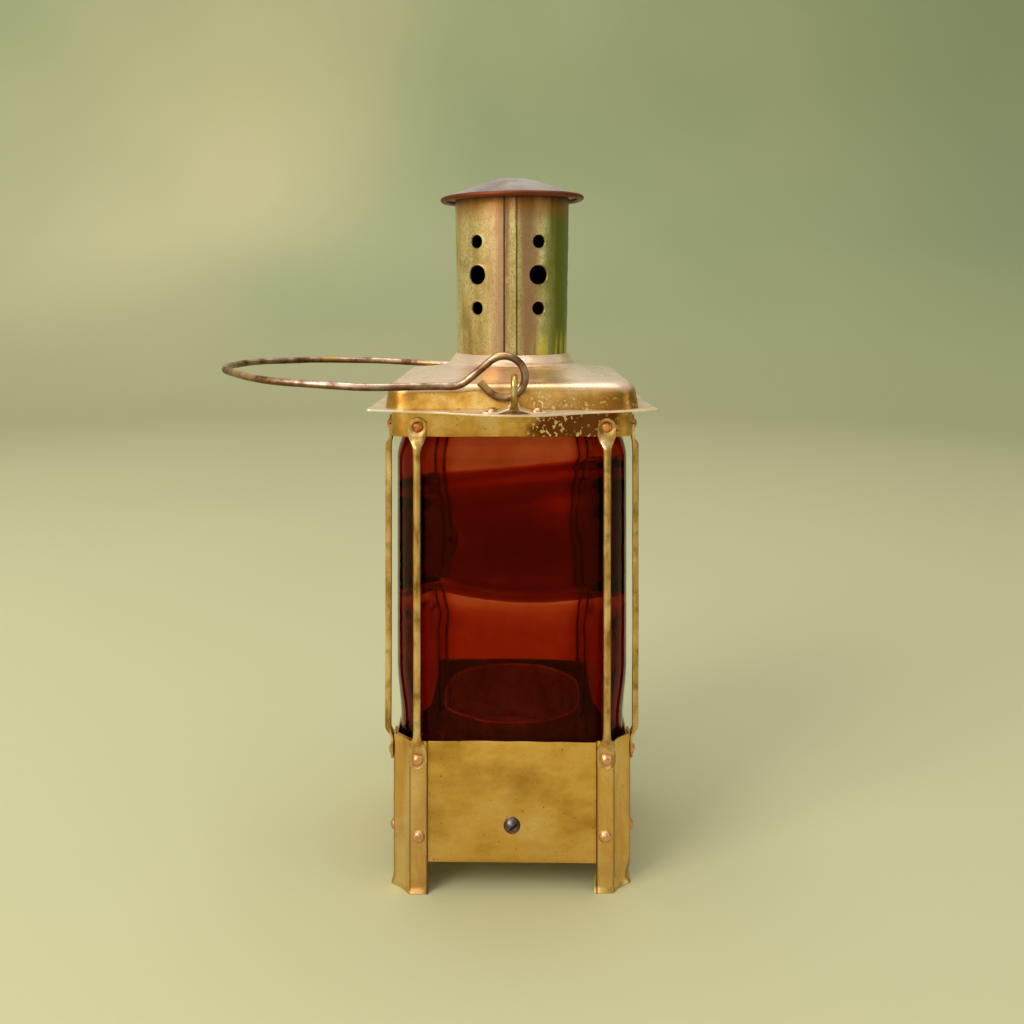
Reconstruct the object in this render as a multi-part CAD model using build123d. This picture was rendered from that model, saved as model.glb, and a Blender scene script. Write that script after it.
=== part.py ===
from build123d import *
from math import acos, atan2, cos, hypot, radians, sin
import os

# Candle lantern. Millimetres, +Z up. The origin is on the lantern's axis, in the plane its
# feet stand on. The front plate, with its screw, faces -Y.

# ---- sheet metal and clearances ----
sheet = 0.8                 # brass sheet
post_sheet = 0.9            # corner post sheet
running_gap = 0.08          # radial play of the lift-off chimney on its collar

# ---- base ----
foot_height = 11.4          # feet below the shell's plates
shell_height = 45.8
shell_half = 44.5           # half of the shell's outside width
shell_chamfer = 7.25        # how far the shell's corners are cut back
shell_top = foot_height + shell_height

# ---- corner posts ----
post_face = shell_half + post_sheet
strip_inner = 31.7          # strip edge nearest the middle of a face
strip_outer = 38.5          # strip edge where the corner cove starts
cove_depth = 0.6            # hollow of the corner cove
lip_height = 2.4            # turned-out lip under each foot
foot_bend_start = 11.0      # feet start to bend here
foot_lean = {"front_left": 0.1, "front_right": 1.0, "back_left": 0.5, "back_right": 0.7}
lip_out = 0.8

# ---- rivets ----
rivet_head = 4.7            # head diameter
rivet_rise = 1.6            # head height
rivet_shank = 2.3
rivet_hole = 2.4
post_rivet_x = 35.1
post_rivet_z = 21.2

# ---- guard rods ----
rod_x = 35.5                # from the middle of each face
rod_width = 3.1
rod_depth = 2.3
rod_back = 46.6             # back of the bar, out from the axis
spoon_radius = 3.45
spoon_sheet = 1.1
lower_rivet_z = 50.3
upper_rivet_z = 175.7

# ---- glass ----
ledge_z = 38.5
ledge_sheet = 1.0
glass_half = 44.7           # at its widest, above the base
glass_radius = 14.0
glass_inner_radius = 16.0   # pressed glass is thicker in its corners
glass_wall = 3.2
glass_foot_pull = 1.3       # how far the foot is drawn in to enter the base
glass_top_z = 180.0

# ---- candle ----
tray_z = 14.4               # underside of the tray
tray_sheet = 0.9
tray_half = 43.4
tab_width = 14.0
tab_top = 33.0
screw_z = 25.0
screw_head = 6.4
screw_rise = 2.2
screw_shank = 3.4
screw_length = 8.0
slot_angle = 33.0
nut_side = 6.4
nut_thick = 2.4
cup_radius = 31.0
cup_rim_z = 59.0
candle_radius = 28.4
candle_top = 38.0           # a part-burnt candle, low in its cup
wick_radius = 0.8
wick_top = 46.0

# ---- upper band, brim and hood ----
band_half = 46.1
band_radius = 7.0
band_bottom = 171.9
brim_z = 181.4              # underside of the brim
brim_half = 54.2
brim_radius = 1.6
brim_hole = 34.0
bump_half = 28.0            # half length of the bulge that carries the bail
bump_reach = 60.0           # how far the bulge stands out from the axis
bump_hinge = 52.4           # the bulge droops from this line outwards
bump_droop = 4.0            # degrees
hood_foot = brim_z + sheet
hood_half = 48.4
hood_radius = 9.0
hood_waist = 47.6           # half width just below the shoulder
hood_waist_z = 188.0
shoulder = 5.0
collar_radius = 27.0
collar_z = 196.6
seat_radius = 23.3          # top of the collar cone, where the chimney stands
seat_z = 201.0
upstand = 8.0               # collar inside the chimney's foot

# ---- chimney ----
tube_foot_radius = 22.9
tube_top_radius = 23.9
tube_top = 266.6
seam_width = 4.8
seam_rise = 0.8
seam_angle = -1.5           # degrees round from the front
small_vent = 5.7
large_vent = 8.3
vent_rows = {219.8: small_vent, 233.2: large_vent, 246.7: small_vent}
vent_turns = (-37.5, 27.5, 89.5, 172.0, 246.0)     # degrees round from the front, punched by eye
cap_radius = 30.4
cap_rim_z = 265.3
cap_top = 274.5
bead = 1.15                 # radius of the rolled rim
spigot_radius = 22.9
spigot_foot = 257.0

# ---- bail, links and straps ----
link_x = 0.8
link_y = 56.0               # out from the axis, front and back
link_foot_z = 184.0         # wire centre in the strap's tunnel
link_head_z = 195.2         # wire centre at the top
link_wire = 1.3             # wire radius
link_inner = 4.4            # half of the width inside the ring
link_corner = 3.4
strap_sheet = 0.7
strap_width = 5.0
strap_half = 11.6
strap_rivet = 8.2
strap_tunnel = 1.6          # inside radius of the tunnel
strap_toe = 5.2             # where the tunnel's slopes meet the brim
eye_x = -2.9
eye_z = 195.2
eye_radius = 7.7
bail_wire = 1.45            # wire radius
tail_start = 225.0          # the eye's tail leaves the circle here, in degrees
tail_length = 5.0
leg_start = 130.0           # the eye runs out into the leg here
leg_bend = 9.0
leg_drop = 3.4              # the leg lies this far below the eye's centre
hoop_slope = 2.2            # degrees the hoop rises to its end
hoop_radius = 61.5
hoop_centre = -57.0         # x of the centre of the hoop's round end
splay_bend = 40.0           # bend where the legs start to splay


def chamfered_square(half, chamfer):
    inner = half - chamfer
    corners = [(half, -inner), (half, inner), (inner, half), (-inner, half)]
    corners += [(-half, inner), (-half, -inner), (-inner, -half), (inner, -half)]
    return make_face(Polyline(*corners, close=True))


def rounded_square(half, radius, z):
    return Pos(0, 0, z) * RectangleRounded(2 * half, 2 * half, radius)


def ring(outer, inner, bottom, top):
    height = top - bottom
    tube = Cylinder(outer, height) - Cylinder(inner, height * 3)
    return Pos(0, 0, (bottom + top) / 2) * tube


def side_hole(diameter, x, z, near, far):
    # a round hole along Y, from y = -near to y = -far
    depth = far - near
    return Pos(x, -(near + far) / 2, z) * Rot(90, 0, 0) * Cylinder(diameter / 2, depth)


def four_sides(solid):
    return [Rot(0, 0, quarter * 90) * solid for quarter in range(4)]


def cut_all(body, tools):
    for tool in tools:
        body = body - tool
    return body


# ---- base ----
def base_shell():
    outer = extrude(Pos(0, 0, foot_height) * chamfered_square(shell_half, shell_chamfer), shell_height)
    inner_half = shell_half - sheet
    inner_chamfer = shell_chamfer - sheet * (2 - 2 ** 0.5)
    inner_outline = Pos(0, 0, foot_height - 1) * chamfered_square(inner_half, inner_chamfer)
    shell = outer - extrude(inner_outline, shell_height + 2)
    for x in (-1, 1):
        shell = cut_all(shell, four_sides(side_hole(rivet_hole, x * post_rivet_x, post_rivet_z, 40, 50)))
        shell = cut_all(shell, four_sides(side_hole(rivet_hole, x * rod_x, lower_rivet_z, 40, 50)))
    screw_hole = side_hole(screw_shank + 0.2, 0, screw_z, 40, 50)
    return shell - screw_hole - Rot(0, 0, 180) * screw_hole


def post_section(shift, z):
    # front-left corner: outside of the sheet, then back along its inside
    outer_mid = (strip_outer + post_face) / 2 - cove_depth / 2 ** 0.5
    inner_mid = outer_mid - post_sheet / 2 ** 0.5
    inner_face = post_face - post_sheet
    inner_turn = strip_outer - post_sheet * 0.41
    lines = [
        Line((-strip_inner, -post_face), (-strip_outer, -post_face)),
        ThreePointArc((-strip_outer, -post_face), (-outer_mid, -outer_mid), (-post_face, -strip_outer)),
        Line((-post_face, -strip_outer), (-post_face, -strip_inner)),
        Line((-post_face, -strip_inner), (-inner_face, -strip_inner)),
        Line((-inner_face, -strip_inner), (-inner_face, -inner_turn)),
        ThreePointArc((-inner_face, -inner_turn), (-inner_mid, -inner_mid), (-inner_turn, -inner_face)),
        Line((-inner_turn, -inner_face), (-strip_inner, -inner_face)),
        Line((-strip_inner, -inner_face), (-strip_inner, -post_face)),
    ]
    return Pos(shift, shift, z) * make_face(Curve() + lines)


def corner_post(lean):
    shift = lean / 2 ** 0.5
    lip_shift = shift - lip_out / 2 ** 0.5
    post = extrude(post_section(0, foot_bend_start), shell_top - foot_bend_start)
    foot = loft([post_section(shift, lip_height), post_section(0, foot_bend_start)], ruled=True)
    lip = loft([post_section(lip_shift, 0), post_section(shift, lip_height)], ruled=True)
    post = post + foot + lip
    for x, z in ((post_rivet_x, post_rivet_z), (rod_x, lower_rivet_z)):
        post = post - side_hole(rivet_hole, -x, z, 40, 50)
        post = post - Rot(0, 0, -90) * side_hole(rivet_hole, x, z, 40, 50)
    return post


# ---- rivets ----
def rivet(grip):
    # local frame: head on +Z above z = 0, shank and its upset tail below
    dome_radius = (rivet_head ** 2 / 4 + rivet_rise ** 2) / (2 * rivet_rise)
    dome = Pos(0, 0, rivet_rise - dome_radius) * Sphere(dome_radius)
    head = dome & Pos(0, 0, rivet_rise / 2) * Cylinder(rivet_head, rivet_rise)
    shank = Pos(0, 0, -grip / 2) * Cylinder(rivet_shank / 2, grip)
    tail = Pos(0, 0, -grip - 0.35) * Cylinder(1.4, 0.7)
    return head + shank + tail


def side_rivets(x, z, face, grip):
    # one rivet at +x and one at -x on each of the four faces
    facing_front = Pos(0, -face, z) * Rot(90, 0, 0) * rivet(grip)
    rivets = []
    for side in (-1, 1):
        rivets += four_sides(Pos(side * x, 0, 0) * facing_front)
    return rivets


# ---- guard rods ----
def spoon(rivet_z, neck_z, seat):
    # flat end of a bar: a disc round the rivet, narrowing to the bar's width at the neck
    disc = Pos(0, rivet_z) * Circle(spoon_radius)
    toward = 1 if neck_z > rivet_z else -1
    start = rivet_z + toward * 0.8
    half = rod_width / 2
    wide = spoon_radius - 0.15
    neck = make_face(Polyline((-wide, start), (wide, start), (half, neck_z), (-half, neck_z), close=True))
    flat = extrude(Plane.XZ * (disc + neck), spoon_sheet)
    return Pos(0, -seat, 0) * flat


def guard_rod():
    # local frame: bar standing at x = 0 in front of the front face
    lower_neck = 60.5
    upper_neck = 166.5
    front = rod_back + rod_depth
    half = rod_width / 2
    profile = [
        Line((-half, -rod_back), (half, -rod_back)),
        Line((half, -rod_back), (half, -rod_back - 0.9)),
        ThreePointArc((half, -rod_back - 0.9), (0, -front), (-half, -rod_back - 0.9)),
        Line((-half, -rod_back - 0.9), (-half, -rod_back)),
    ]
    bar = extrude(Pos(0, 0, lower_neck) * make_face(Curve() + profile), upper_neck - lower_neck)
    low = [(-post_face, lower_neck), (-rod_back, lower_neck + 3.0), (-front + 0.3, lower_neck + 0.5)]
    low += [(-front + 0.4, lower_neck - 1.5), (-post_face - spoon_sheet, lower_neck - 5.5)]
    low += [(-post_face, lower_neck - 5.5)]
    high = [(-band_half, upper_neck), (-rod_back, upper_neck - 3.0), (-front + 0.3, upper_neck - 0.5)]
    high += [(-front + 0.4, upper_neck + 1.5), (-band_half - spoon_sheet, upper_neck + 5.0)]
    high += [(-band_half, upper_neck + 5.0)]
    for outline in (low, high):
        wedge = extrude(Plane.YZ * make_face(Polyline(*outline, close=True)), half - 0.1, both=True)
        bar = bar + wedge
    bar = bar + spoon(lower_rivet_z, lower_neck, post_face)
    bar = bar + spoon(upper_rivet_z, upper_neck, band_half)
    bar = bar - side_hole(rivet_hole, 0, lower_rivet_z, 40, 50)
    return bar - side_hole(rivet_hole, 0, upper_rivet_z, 40, 50)


# ---- inside the base ----
def glass_ledge():
    inner_half = shell_half - sheet
    inner_chamfer = shell_chamfer - sheet * (2 - 2 ** 0.5)
    plate = extrude(Pos(0, 0, ledge_z) * chamfered_square(inner_half, inner_chamfer), ledge_sheet)
    return plate - Pos(0, 0, ledge_z) * Cylinder(cup_radius + 1.5, 10)


def candle_tray():
    plate = extrude(Pos(0, 0, tray_z) * chamfered_square(tray_half, 7.4), tray_sheet)
    tab_y = shell_half - sheet - tray_sheet / 2
    tab_height = tab_top - tray_z
    tab = Pos(0, -tab_y, (tab_top + tray_z) / 2) * Box(tab_width, tray_sheet, tab_height)
    foot = Pos(0, -tab_y + 1, tray_z + tray_sheet / 2) * Box(tab_width, 2 + tray_sheet, tray_sheet)
    tab = tab + foot - side_hole(screw_shank + 0.2, 0, screw_z, 38, 48)
    return plate + tab + Rot(0, 0, 180) * tab


def tray_screw():
    dome_radius = (screw_head ** 2 / 4 + screw_rise ** 2) / (2 * screw_rise)
    dome = Pos(0, 0, screw_rise - dome_radius) * Sphere(dome_radius)
    head = dome & Pos(0, 0, screw_rise / 2) * Cylinder(screw_head, screw_rise)
    slot = Rot(0, 0, slot_angle) * Pos(0, 0, screw_rise) * Box(screw_head * 2, 0.9, 2.0)
    shank = Pos(0, 0, -screw_length / 2) * Cylinder(screw_shank / 2, screw_length)
    screw = head - slot + shank
    return Pos(0, -shell_half, screw_z) * Rot(90, 0, 0) * screw


def tray_nut():
    inner_face = shell_half - sheet - tray_sheet
    nut = Box(nut_side, nut_thick, nut_side) - Rot(90, 0, 0) * Cylinder(screw_shank / 2 + 0.05, 10)
    return Pos(0, -inner_face + nut_thick / 2, screw_z) * nut


def candle_cup():
    floor = tray_z + tray_sheet
    wall = cup_radius - 0.6
    body = ring(wall, wall - sheet, floor, cup_rim_z - 0.6)
    base = Pos(0, 0, floor + sheet / 2) * Cylinder(wall, sheet)
    rim = Pos(0, 0, cup_rim_z - 0.75) * Torus(wall - 0.15, 0.75)
    return body + base + rim


def candle():
    floor = tray_z + tray_sheet + sheet
    height = candle_top - floor
    wax = Pos(0, 0, floor + height / 2) * Cylinder(candle_radius, height)
    top_edge = wax.edges().filter_by(GeomType.CIRCLE).sort_by(Axis.Z)[-1]
    wax = fillet(top_edge, 1.2)
    return wax - Pos(0, 0, candle_top) * Cylinder(wick_radius + 0.05, 12)


def wick():
    foot = candle_top - 6
    return Pos(0, 0, (foot + wick_top) / 2) * Cylinder(wick_radius, wick_top - foot)


# ---- glass ----
def glass_block(inset, radius):
    foot = ledge_z + ledge_sheet
    levels = [(foot - inset, glass_foot_pull), (60.0, glass_foot_pull), (74.0, 0.3), (90.0, 0.0)]
    levels += [(158.0, 0.0), (165.0, 0.4), (170.0, 1.1), (174.0, 2.4), (177.5, 4.0)]
    levels.append((glass_top_z + inset, 4.9))
    sections = []
    for z, pull in levels:
        sections.append(rounded_square(glass_half - pull - inset, radius, z))
    return loft(sections, ruled=True)


def amber_glass():
    return glass_block(0, glass_radius) - glass_block(glass_wall, glass_inner_radius)


# ---- top ----
def upper_band():
    height = brim_z - band_bottom
    outer = extrude(rounded_square(band_half, band_radius, band_bottom), height)
    inner = extrude(rounded_square(band_half - sheet, band_radius - sheet, band_bottom - 1), height + 2)
    band = outer - inner
    for x in (-1, 1):
        band = cut_all(band, four_sides(side_hole(rivet_hole, x * rod_x, upper_rivet_z, 40, 50)))
    return band


def on_bulge(solid):
    # tilt a front piece down with the brim's bulge
    hinge = Axis((0, -bump_hinge, brim_z + sheet), (1, 0, 0))
    return solid.rotate(hinge, bump_droop)


def brim_plate():
    plate = extrude(rounded_square(brim_half, brim_radius, brim_z), sheet)
    plate = plate - Pos(0, 0, brim_z) * Cylinder(brim_hole, 10)
    front_strip = Pos(0, -bump_hinge - 10, brim_z) * Box(2 * bump_half, 20, 10)
    for turn in (0, 180):
        plate = plate - Rot(0, 0, turn) * front_strip
    outline = [
        ThreePointArc((-bump_half, -brim_half), (0, -bump_reach), (bump_half, -brim_half)),
        Line((bump_half, -brim_half), (bump_half, -bump_hinge + 0.5)),
        Line((bump_half, -bump_hinge + 0.5), (-bump_half, -bump_hinge + 0.5)),
        Line((-bump_half, -bump_hinge + 0.5), (-bump_half, -brim_half)),
    ]
    bulge = extrude(Pos(0, 0, brim_z) * make_face(Curve() + outline), sheet)
    for side in (-1, 1):
        bulge = bulge - strap_hole(side)
    bulge = on_bulge(bulge)
    return plate + bulge + across(bulge)


def hood_block(inset):
    # one loft: leaning band, rounded shoulder, sloping top, collar cone
    sections = [rounded_square(hood_half - inset, hood_radius - inset, hood_foot - inset)]
    for step in range(5):
        turn = radians(step * 22.5)
        half = hood_waist - shoulder * (1 - cos(turn)) - inset
        z = hood_waist_z + 0.9 * shoulder * sin(turn) - inset
        sections.append(rounded_square(half, hood_radius - inset, z))
    for radius, z in ((collar_radius, collar_z), (seat_radius, seat_z)):
        sections.append(rounded_square(radius - inset, radius - inset - 0.1, z - inset))
    return loft(sections, ruled=True)


def roof_hood():
    stand_radius = tube_foot_radius - sheet - running_gap
    hood = hood_block(0) - hood_block(sheet)
    hood = hood - Pos(0, 0, seat_z) * Cylinder(stand_radius - sheet, 20)
    return hood + ring(stand_radius, stand_radius - sheet, seat_z - 0.6, seat_z + upstand)


# ---- chimney ----
def tube_cone(extra):
    # a solid cone with the chimney's taper, "extra" bigger all round
    height = tube_top - seat_z
    cone = Cone(tube_foot_radius + extra, tube_top_radius + extra, height)
    return Pos(0, 0, (tube_top + seat_z) / 2) * cone


def chimney_tube():
    seam = tube_cone(seam_rise) & Pos(0, -tube_top_radius, tube_top / 2) * Box(seam_width, 6, tube_top)
    tube = tube_cone(0) + Rot(0, 0, seam_angle) * seam - tube_cone(-sheet)
    for turn in vent_turns:
        for z, diameter in vent_rows.items():
            tube = tube - Rot(0, 0, turn) * side_hole(diameter, 0, z, 15, 30)
    return tube


def cap_sphere():
    rim = cap_radius - bead
    rise = cap_top - cap_rim_z
    radius = (rim ** 2 + rise ** 2) / (2 * rise)
    return radius, cap_top - radius


def chimney_cap():
    radius, centre = cap_sphere()
    rim = cap_radius - bead
    shell = Sphere(radius) - Sphere(radius - sheet)
    shell = Pos(0, 0, centre) * shell
    dome = shell & Pos(0, 0, cap_rim_z + 10) * Cylinder(rim, 20)
    return dome + Pos(0, 0, cap_rim_z) * Torus(rim, bead)


def cap_spigot():
    radius, centre = cap_sphere()
    top = centre + ((radius - sheet) ** 2 - spigot_radius ** 2) ** 0.5
    return ring(spigot_radius, spigot_radius - sheet, spigot_foot, top)


# ---- bail, links and straps ----
def strap_hole(side):
    x = link_x + side * strap_rivet
    return Pos(x, -link_y, brim_z) * Cylinder(rivet_hole / 2, 10)


def link_strap():
    foot = brim_z + sheet
    droop = (link_y - bump_hinge) * sin(radians(bump_droop))
    centre_z = link_foot_z + droop      # before the strap droops with the bulge
    outer = strap_tunnel + strap_sheet
    top = centre_z + outer
    under = [
        Line((-strap_half, foot), (-strap_toe, foot)),
        Line((-strap_toe, foot), (-strap_tunnel, centre_z)),
        ThreePointArc((-strap_tunnel, centre_z), (0, top - strap_sheet), (strap_tunnel, centre_z)),
        Line((strap_tunnel, centre_z), (strap_toe, foot)),
        Line((strap_toe, foot), (strap_half, foot)),
        Line((strap_half, foot), (strap_half, foot + strap_sheet)),
        Line((strap_half, foot + strap_sheet), (strap_toe + 0.3, foot + strap_sheet)),
        Line((strap_toe + 0.3, foot + strap_sheet), (outer, centre_z)),
        ThreePointArc((outer, centre_z), (0, top), (-outer, centre_z)),
        Line((-outer, centre_z), (-strap_toe - 0.3, foot + strap_sheet)),
        Line((-strap_toe - 0.3, foot + strap_sheet), (-strap_half, foot + strap_sheet)),
        Line((-strap_half, foot + strap_sheet), (-strap_half, foot)),
    ]
    strap = extrude(Plane.XZ * make_face(Curve() + under), strap_width / 2, both=True)
    strap = Pos(link_x, -link_y, 0) * strap
    for side in (-1, 1):
        strap = strap - strap_hole(side)
    return on_bulge(strap)


def strap_rivets():
    face = brim_z + sheet + strap_sheet
    rivets = []
    for side in (-1, 1):
        one = Pos(link_x + side * strap_rivet, -link_y, face) * small_rivet()
        rivets.append(on_bulge(one))
    return rivets


def small_rivet():
    grip = sheet + strap_sheet
    head = Sphere(2.1) & Pos(0, 0, 1.5) * Cylinder(3, 3)
    shank = Pos(0, 0, -grip / 2 + 0.2) * Cylinder(rivet_shank / 2, grip + 0.4)
    tail = Pos(0, 0, -grip - 0.3) * Cylinder(1.7, 0.6)
    return head + shank + tail


def bail_link():
    half_width = link_inner + link_wire
    height = link_head_z - link_foot_z
    centre = Plane((link_x, -link_y, (link_head_z + link_foot_z) / 2), x_dir=(0, 1, 0), z_dir=(1, 0, 0))
    outline = centre * RectangleRounded(2 * half_width, height, link_corner)
    path = outline.wire()
    start = path.position_at(0)
    section = Plane(start, z_dir=path.tangent_at(0)) * Circle(link_wire)
    return sweep(section, path)


def eye_point(angle, radius=eye_radius):
    return eye_x + radius * cos(radians(angle)), eye_z + radius * sin(radians(angle))


def half_bail():
    # front half of the wire, as edges from the tail to the middle of the hoop
    side = -link_y
    slope = radians(hoop_slope)

    def upright(point):
        return Vector(point[0], side, point[1])

    # the eye: tail, round under, up the right side and over the top
    tail_x, tail_z = eye_point(tail_start)
    tail_dir = radians(tail_start - 90)
    tail_end = (tail_x + tail_length * cos(tail_dir), tail_z + tail_length * sin(tail_dir))
    eye_mid = eye_point((tail_start + leg_start + 360) / 2)
    eye_out = eye_point(leg_start)
    edges = [Line(upright(tail_end), upright((tail_x, tail_z)))]
    edges.append(ThreePointArc(upright((tail_x, tail_z)), upright(eye_mid), upright(eye_out)))

    # the leg: straight down to the left, then a bend into the hoop's slope
    heading = radians(leg_start + 90)
    bend = heading - radians(180) + slope
    bend_drop = leg_bend * (cos(slope) - cos(bend - slope))
    run = (eye_out[1] - (eye_z - leg_drop) - bend_drop) / sin(heading - radians(180))
    bend_in = (eye_out[0] + run * cos(heading), eye_out[1] + run * sin(heading))
    edges.append(Line(upright(eye_out), upright(bend_in)))
    inward = heading - radians(90)
    centre = (bend_in[0] + leg_bend * cos(inward), bend_in[1] + leg_bend * sin(inward))

    def round_bend(turn):
        angle = heading + radians(90) - turn
        return centre[0] + leg_bend * cos(angle), centre[1] + leg_bend * sin(angle)

    bend_out = round_bend(bend)
    edges.append(ThreePointArc(upright(bend_in), upright(round_bend(bend / 2)), upright(bend_out)))

    # the hoop, in its own sloping plane: u runs out to the left, y across
    def in_hoop(u, y):
        return Vector(bend_out[0] - u * cos(slope), y, bend_out[1] + u * sin(slope))

    reach = bend_out[0] - hoop_centre
    arm = link_y + splay_bend
    span = hypot(reach, arm)
    splay = atan2(reach, arm) - acos((hoop_radius + splay_bend) / span)

    def round_splay(turn):
        return in_hoop(splay_bend * sin(turn), side - splay_bend * (1 - cos(turn)))

    touch = in_hoop(reach - hoop_radius * sin(splay), -hoop_radius * cos(splay))
    edges.append(ThreePointArc(in_hoop(0, side), round_splay(splay / 2), round_splay(splay)))
    edges.append(Line(round_splay(splay), touch))
    quarter = (radians(90) + splay) / 2 - splay
    middle = in_hoop(reach + hoop_radius * sin(quarter), -hoop_radius * cos(quarter))
    edges.append(ThreePointArc(touch, middle, in_hoop(reach + hoop_radius, 0)))
    return edges


def bail():
    front = half_bail()
    back = [edge.mirror(Plane.XZ) for edge in front]
    path = Wire(front + back)
    end = front[0] @ 0
    section = Plane(end, z_dir=front[0] % 0) * Circle(bail_wire)
    print("bail wire length", round(path.length, 1))
    return sweep(section, path)


# ---- the assembly ----
def mirrored_pair(name, solids):
    turned = [Rot(0, 0, 180) * solid for solid in solids]
    return {name + "_front": solids, name + "_back": turned}


def across(solid):
    return solid.mirror(Plane.XZ)


def build_nodes():
    nodes = {"base_shell": [base_shell()]}
    corner_turns = {"front_left": 0, "front_right": 90, "back_right": 180, "back_left": 270}
    for corner, turn in corner_turns.items():
        nodes["corner_post_" + corner] = [Rot(0, 0, turn) * corner_post(foot_lean[corner])]
    rod = guard_rod()
    faces = {"front": ("left", "right"), "right": ("front", "back")}
    faces.update({"back": ("right", "left"), "left": ("back", "front")})
    for quarter, (face, ends) in enumerate(faces.items()):
        for side, end in zip((-1, 1), ends):
            nodes[f"guard_rod_{face}_{end}"] = [Rot(0, 0, quarter * 90) * Pos(side * rod_x, 0, 0) * rod]
    nodes["post_rivets"] = side_rivets(post_rivet_x, post_rivet_z, post_face, post_sheet + sheet)
    nodes["guard_rivets_lower"] = side_rivets(
        rod_x, lower_rivet_z, post_face + spoon_sheet, spoon_sheet + post_sheet + sheet)
    nodes["guard_rivets_upper"] = side_rivets(
        rod_x, upper_rivet_z, band_half + spoon_sheet, spoon_sheet + sheet)
    nodes["glass_ledge"] = [glass_ledge()]
    nodes["candle_tray"] = [candle_tray()]
    nodes.update(mirrored_pair("tray_screw", [tray_screw()]))
    nodes.update(mirrored_pair("tray_nut", [tray_nut()]))
    nodes["candle_cup"] = [candle_cup()]
    nodes["candle"] = [candle()]
    nodes["wick"] = [wick()]
    nodes["amber_glass"] = [amber_glass()]
    nodes["upper_band"] = [upper_band()]
    nodes["brim_plate"] = [brim_plate()]
    nodes["roof_hood"] = [roof_hood()]
    nodes["chimney_tube"] = [chimney_tube()]
    nodes["chimney_cap"] = [chimney_cap()]
    nodes["cap_spigot"] = [cap_spigot()]
    nodes["link_strap_front"] = [link_strap()]
    nodes["link_strap_back"] = [across(link_strap())]
    nodes["strap_rivets_front"] = strap_rivets()
    nodes["strap_rivets_back"] = [across(one) for one in strap_rivets()]
    nodes["bail_link_front"] = [bail_link()]
    nodes["bail_link_back"] = [across(bail_link())]
    nodes["bail"] = [bail()]
    return nodes


os.makedirs("parts", exist_ok=True)
for name, solids in build_nodes().items():
    shape = solids[0] if len(solids) == 1 else Compound(children=solids)
    export_step(shape, f"parts/{name}.step")
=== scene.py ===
import bpy
import bmesh
from math import acos, atan2, cos, hypot, pi, radians, sin, sqrt
from mathutils import Matrix, Vector, noise


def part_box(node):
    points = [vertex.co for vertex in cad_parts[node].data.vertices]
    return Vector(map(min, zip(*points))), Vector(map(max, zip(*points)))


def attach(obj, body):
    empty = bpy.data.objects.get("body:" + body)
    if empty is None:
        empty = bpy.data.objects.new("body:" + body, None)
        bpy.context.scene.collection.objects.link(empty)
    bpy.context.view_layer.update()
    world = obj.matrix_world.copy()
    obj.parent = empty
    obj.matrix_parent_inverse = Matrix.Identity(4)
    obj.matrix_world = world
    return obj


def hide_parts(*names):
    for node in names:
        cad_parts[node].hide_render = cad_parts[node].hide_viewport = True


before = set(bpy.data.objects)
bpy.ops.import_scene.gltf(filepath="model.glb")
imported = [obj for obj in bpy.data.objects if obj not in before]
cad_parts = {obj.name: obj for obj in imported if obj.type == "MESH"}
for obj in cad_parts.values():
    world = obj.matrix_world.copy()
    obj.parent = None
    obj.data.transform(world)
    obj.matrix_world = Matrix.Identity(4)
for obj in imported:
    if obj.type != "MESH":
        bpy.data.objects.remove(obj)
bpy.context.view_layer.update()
mm = 0.001
print("frame loaded")


# small helpers

def linear(hexText):
    channels = [int(hexText[i:i + 2], 16) / 255 for i in (1, 3, 5)]
    return tuple(c / 12.92 if c <= 0.04045 else ((c + 0.055) / 1.055) ** 2.4 for c in channels) + (1.0,)


def newMaterial(name):
    material = bpy.data.materials.new(name)
    material.use_nodes = True
    material.node_tree.nodes.clear()
    return material, material.node_tree


def addNode(tree, kind, settings=None, links=None):
    # settings and links are keyed by an input's name or number, or by a node property
    node = tree.nodes.new(kind)
    for key, value in (settings or {}).items():
        if isinstance(key, str) and key not in node.inputs:
            setattr(node, key, value)
        else:
            node.inputs[key].default_value = value
    for key, source in (links or {}).items():
        tree.links.new(source, node.inputs[key])
    return node


def wobble(place, size, seed):
    # smooth noise from -1 to 1; size in metres
    return noise.noise(Vector(place) / size + Vector((seed * 7.3, seed * 3.1, seed * 5.7)))


def ease(value, start, end):
    t = max(0, min(1, (value - start) / (end - start)))
    return t * t * (3 - 2 * t)


def meshFromRows(name, rows, aroundClosed=True, rowsClosed=False):
    # a grid of points; rows run upwards, points in a row run counter-clockwise
    count = len(rows[0])
    points = [p for row in rows for p in row]
    across = count if aroundClosed else count - 1
    upwards = len(rows) if rowsClosed else len(rows) - 1
    faces = []
    for r in range(upwards):
        above = (r + 1) % len(rows)
        for c in range(across):
            d = (c + 1) % count
            faces.append((r * count + c, r * count + d, above * count + d, above * count + c))
    mesh = bpy.data.meshes.new(name)
    mesh.from_pydata(points, [], faces)
    return mesh


def revolved(name, profile, steps):
    # profile points are (radius, z) in metres, from the lower end round to the upper end
    mesh = bpy.data.meshes.new(name)
    points, faces, rings = [], [], []
    for radius, z in profile:
        if radius < 1e-7:
            rings.append([len(points)])
            points.append((0, 0, z))
        else:
            first = len(points)
            for step in range(steps):
                turn = 2 * pi * step / steps
                points.append((radius * cos(turn), radius * sin(turn), z))
            rings.append(list(range(first, first + steps)))
    for low, high in zip(rings, rings[1:]):
        for step in range(steps):
            after = (step + 1) % steps
            if len(low) == 1:
                faces.append((low[0], high[after], high[step]))
            elif len(high) == 1:
                faces.append((low[step], low[after], high[0]))
            else:
                faces.append((low[step], low[after], high[after], high[step]))
    mesh.from_pydata(points, [], faces)
    return mesh


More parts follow.
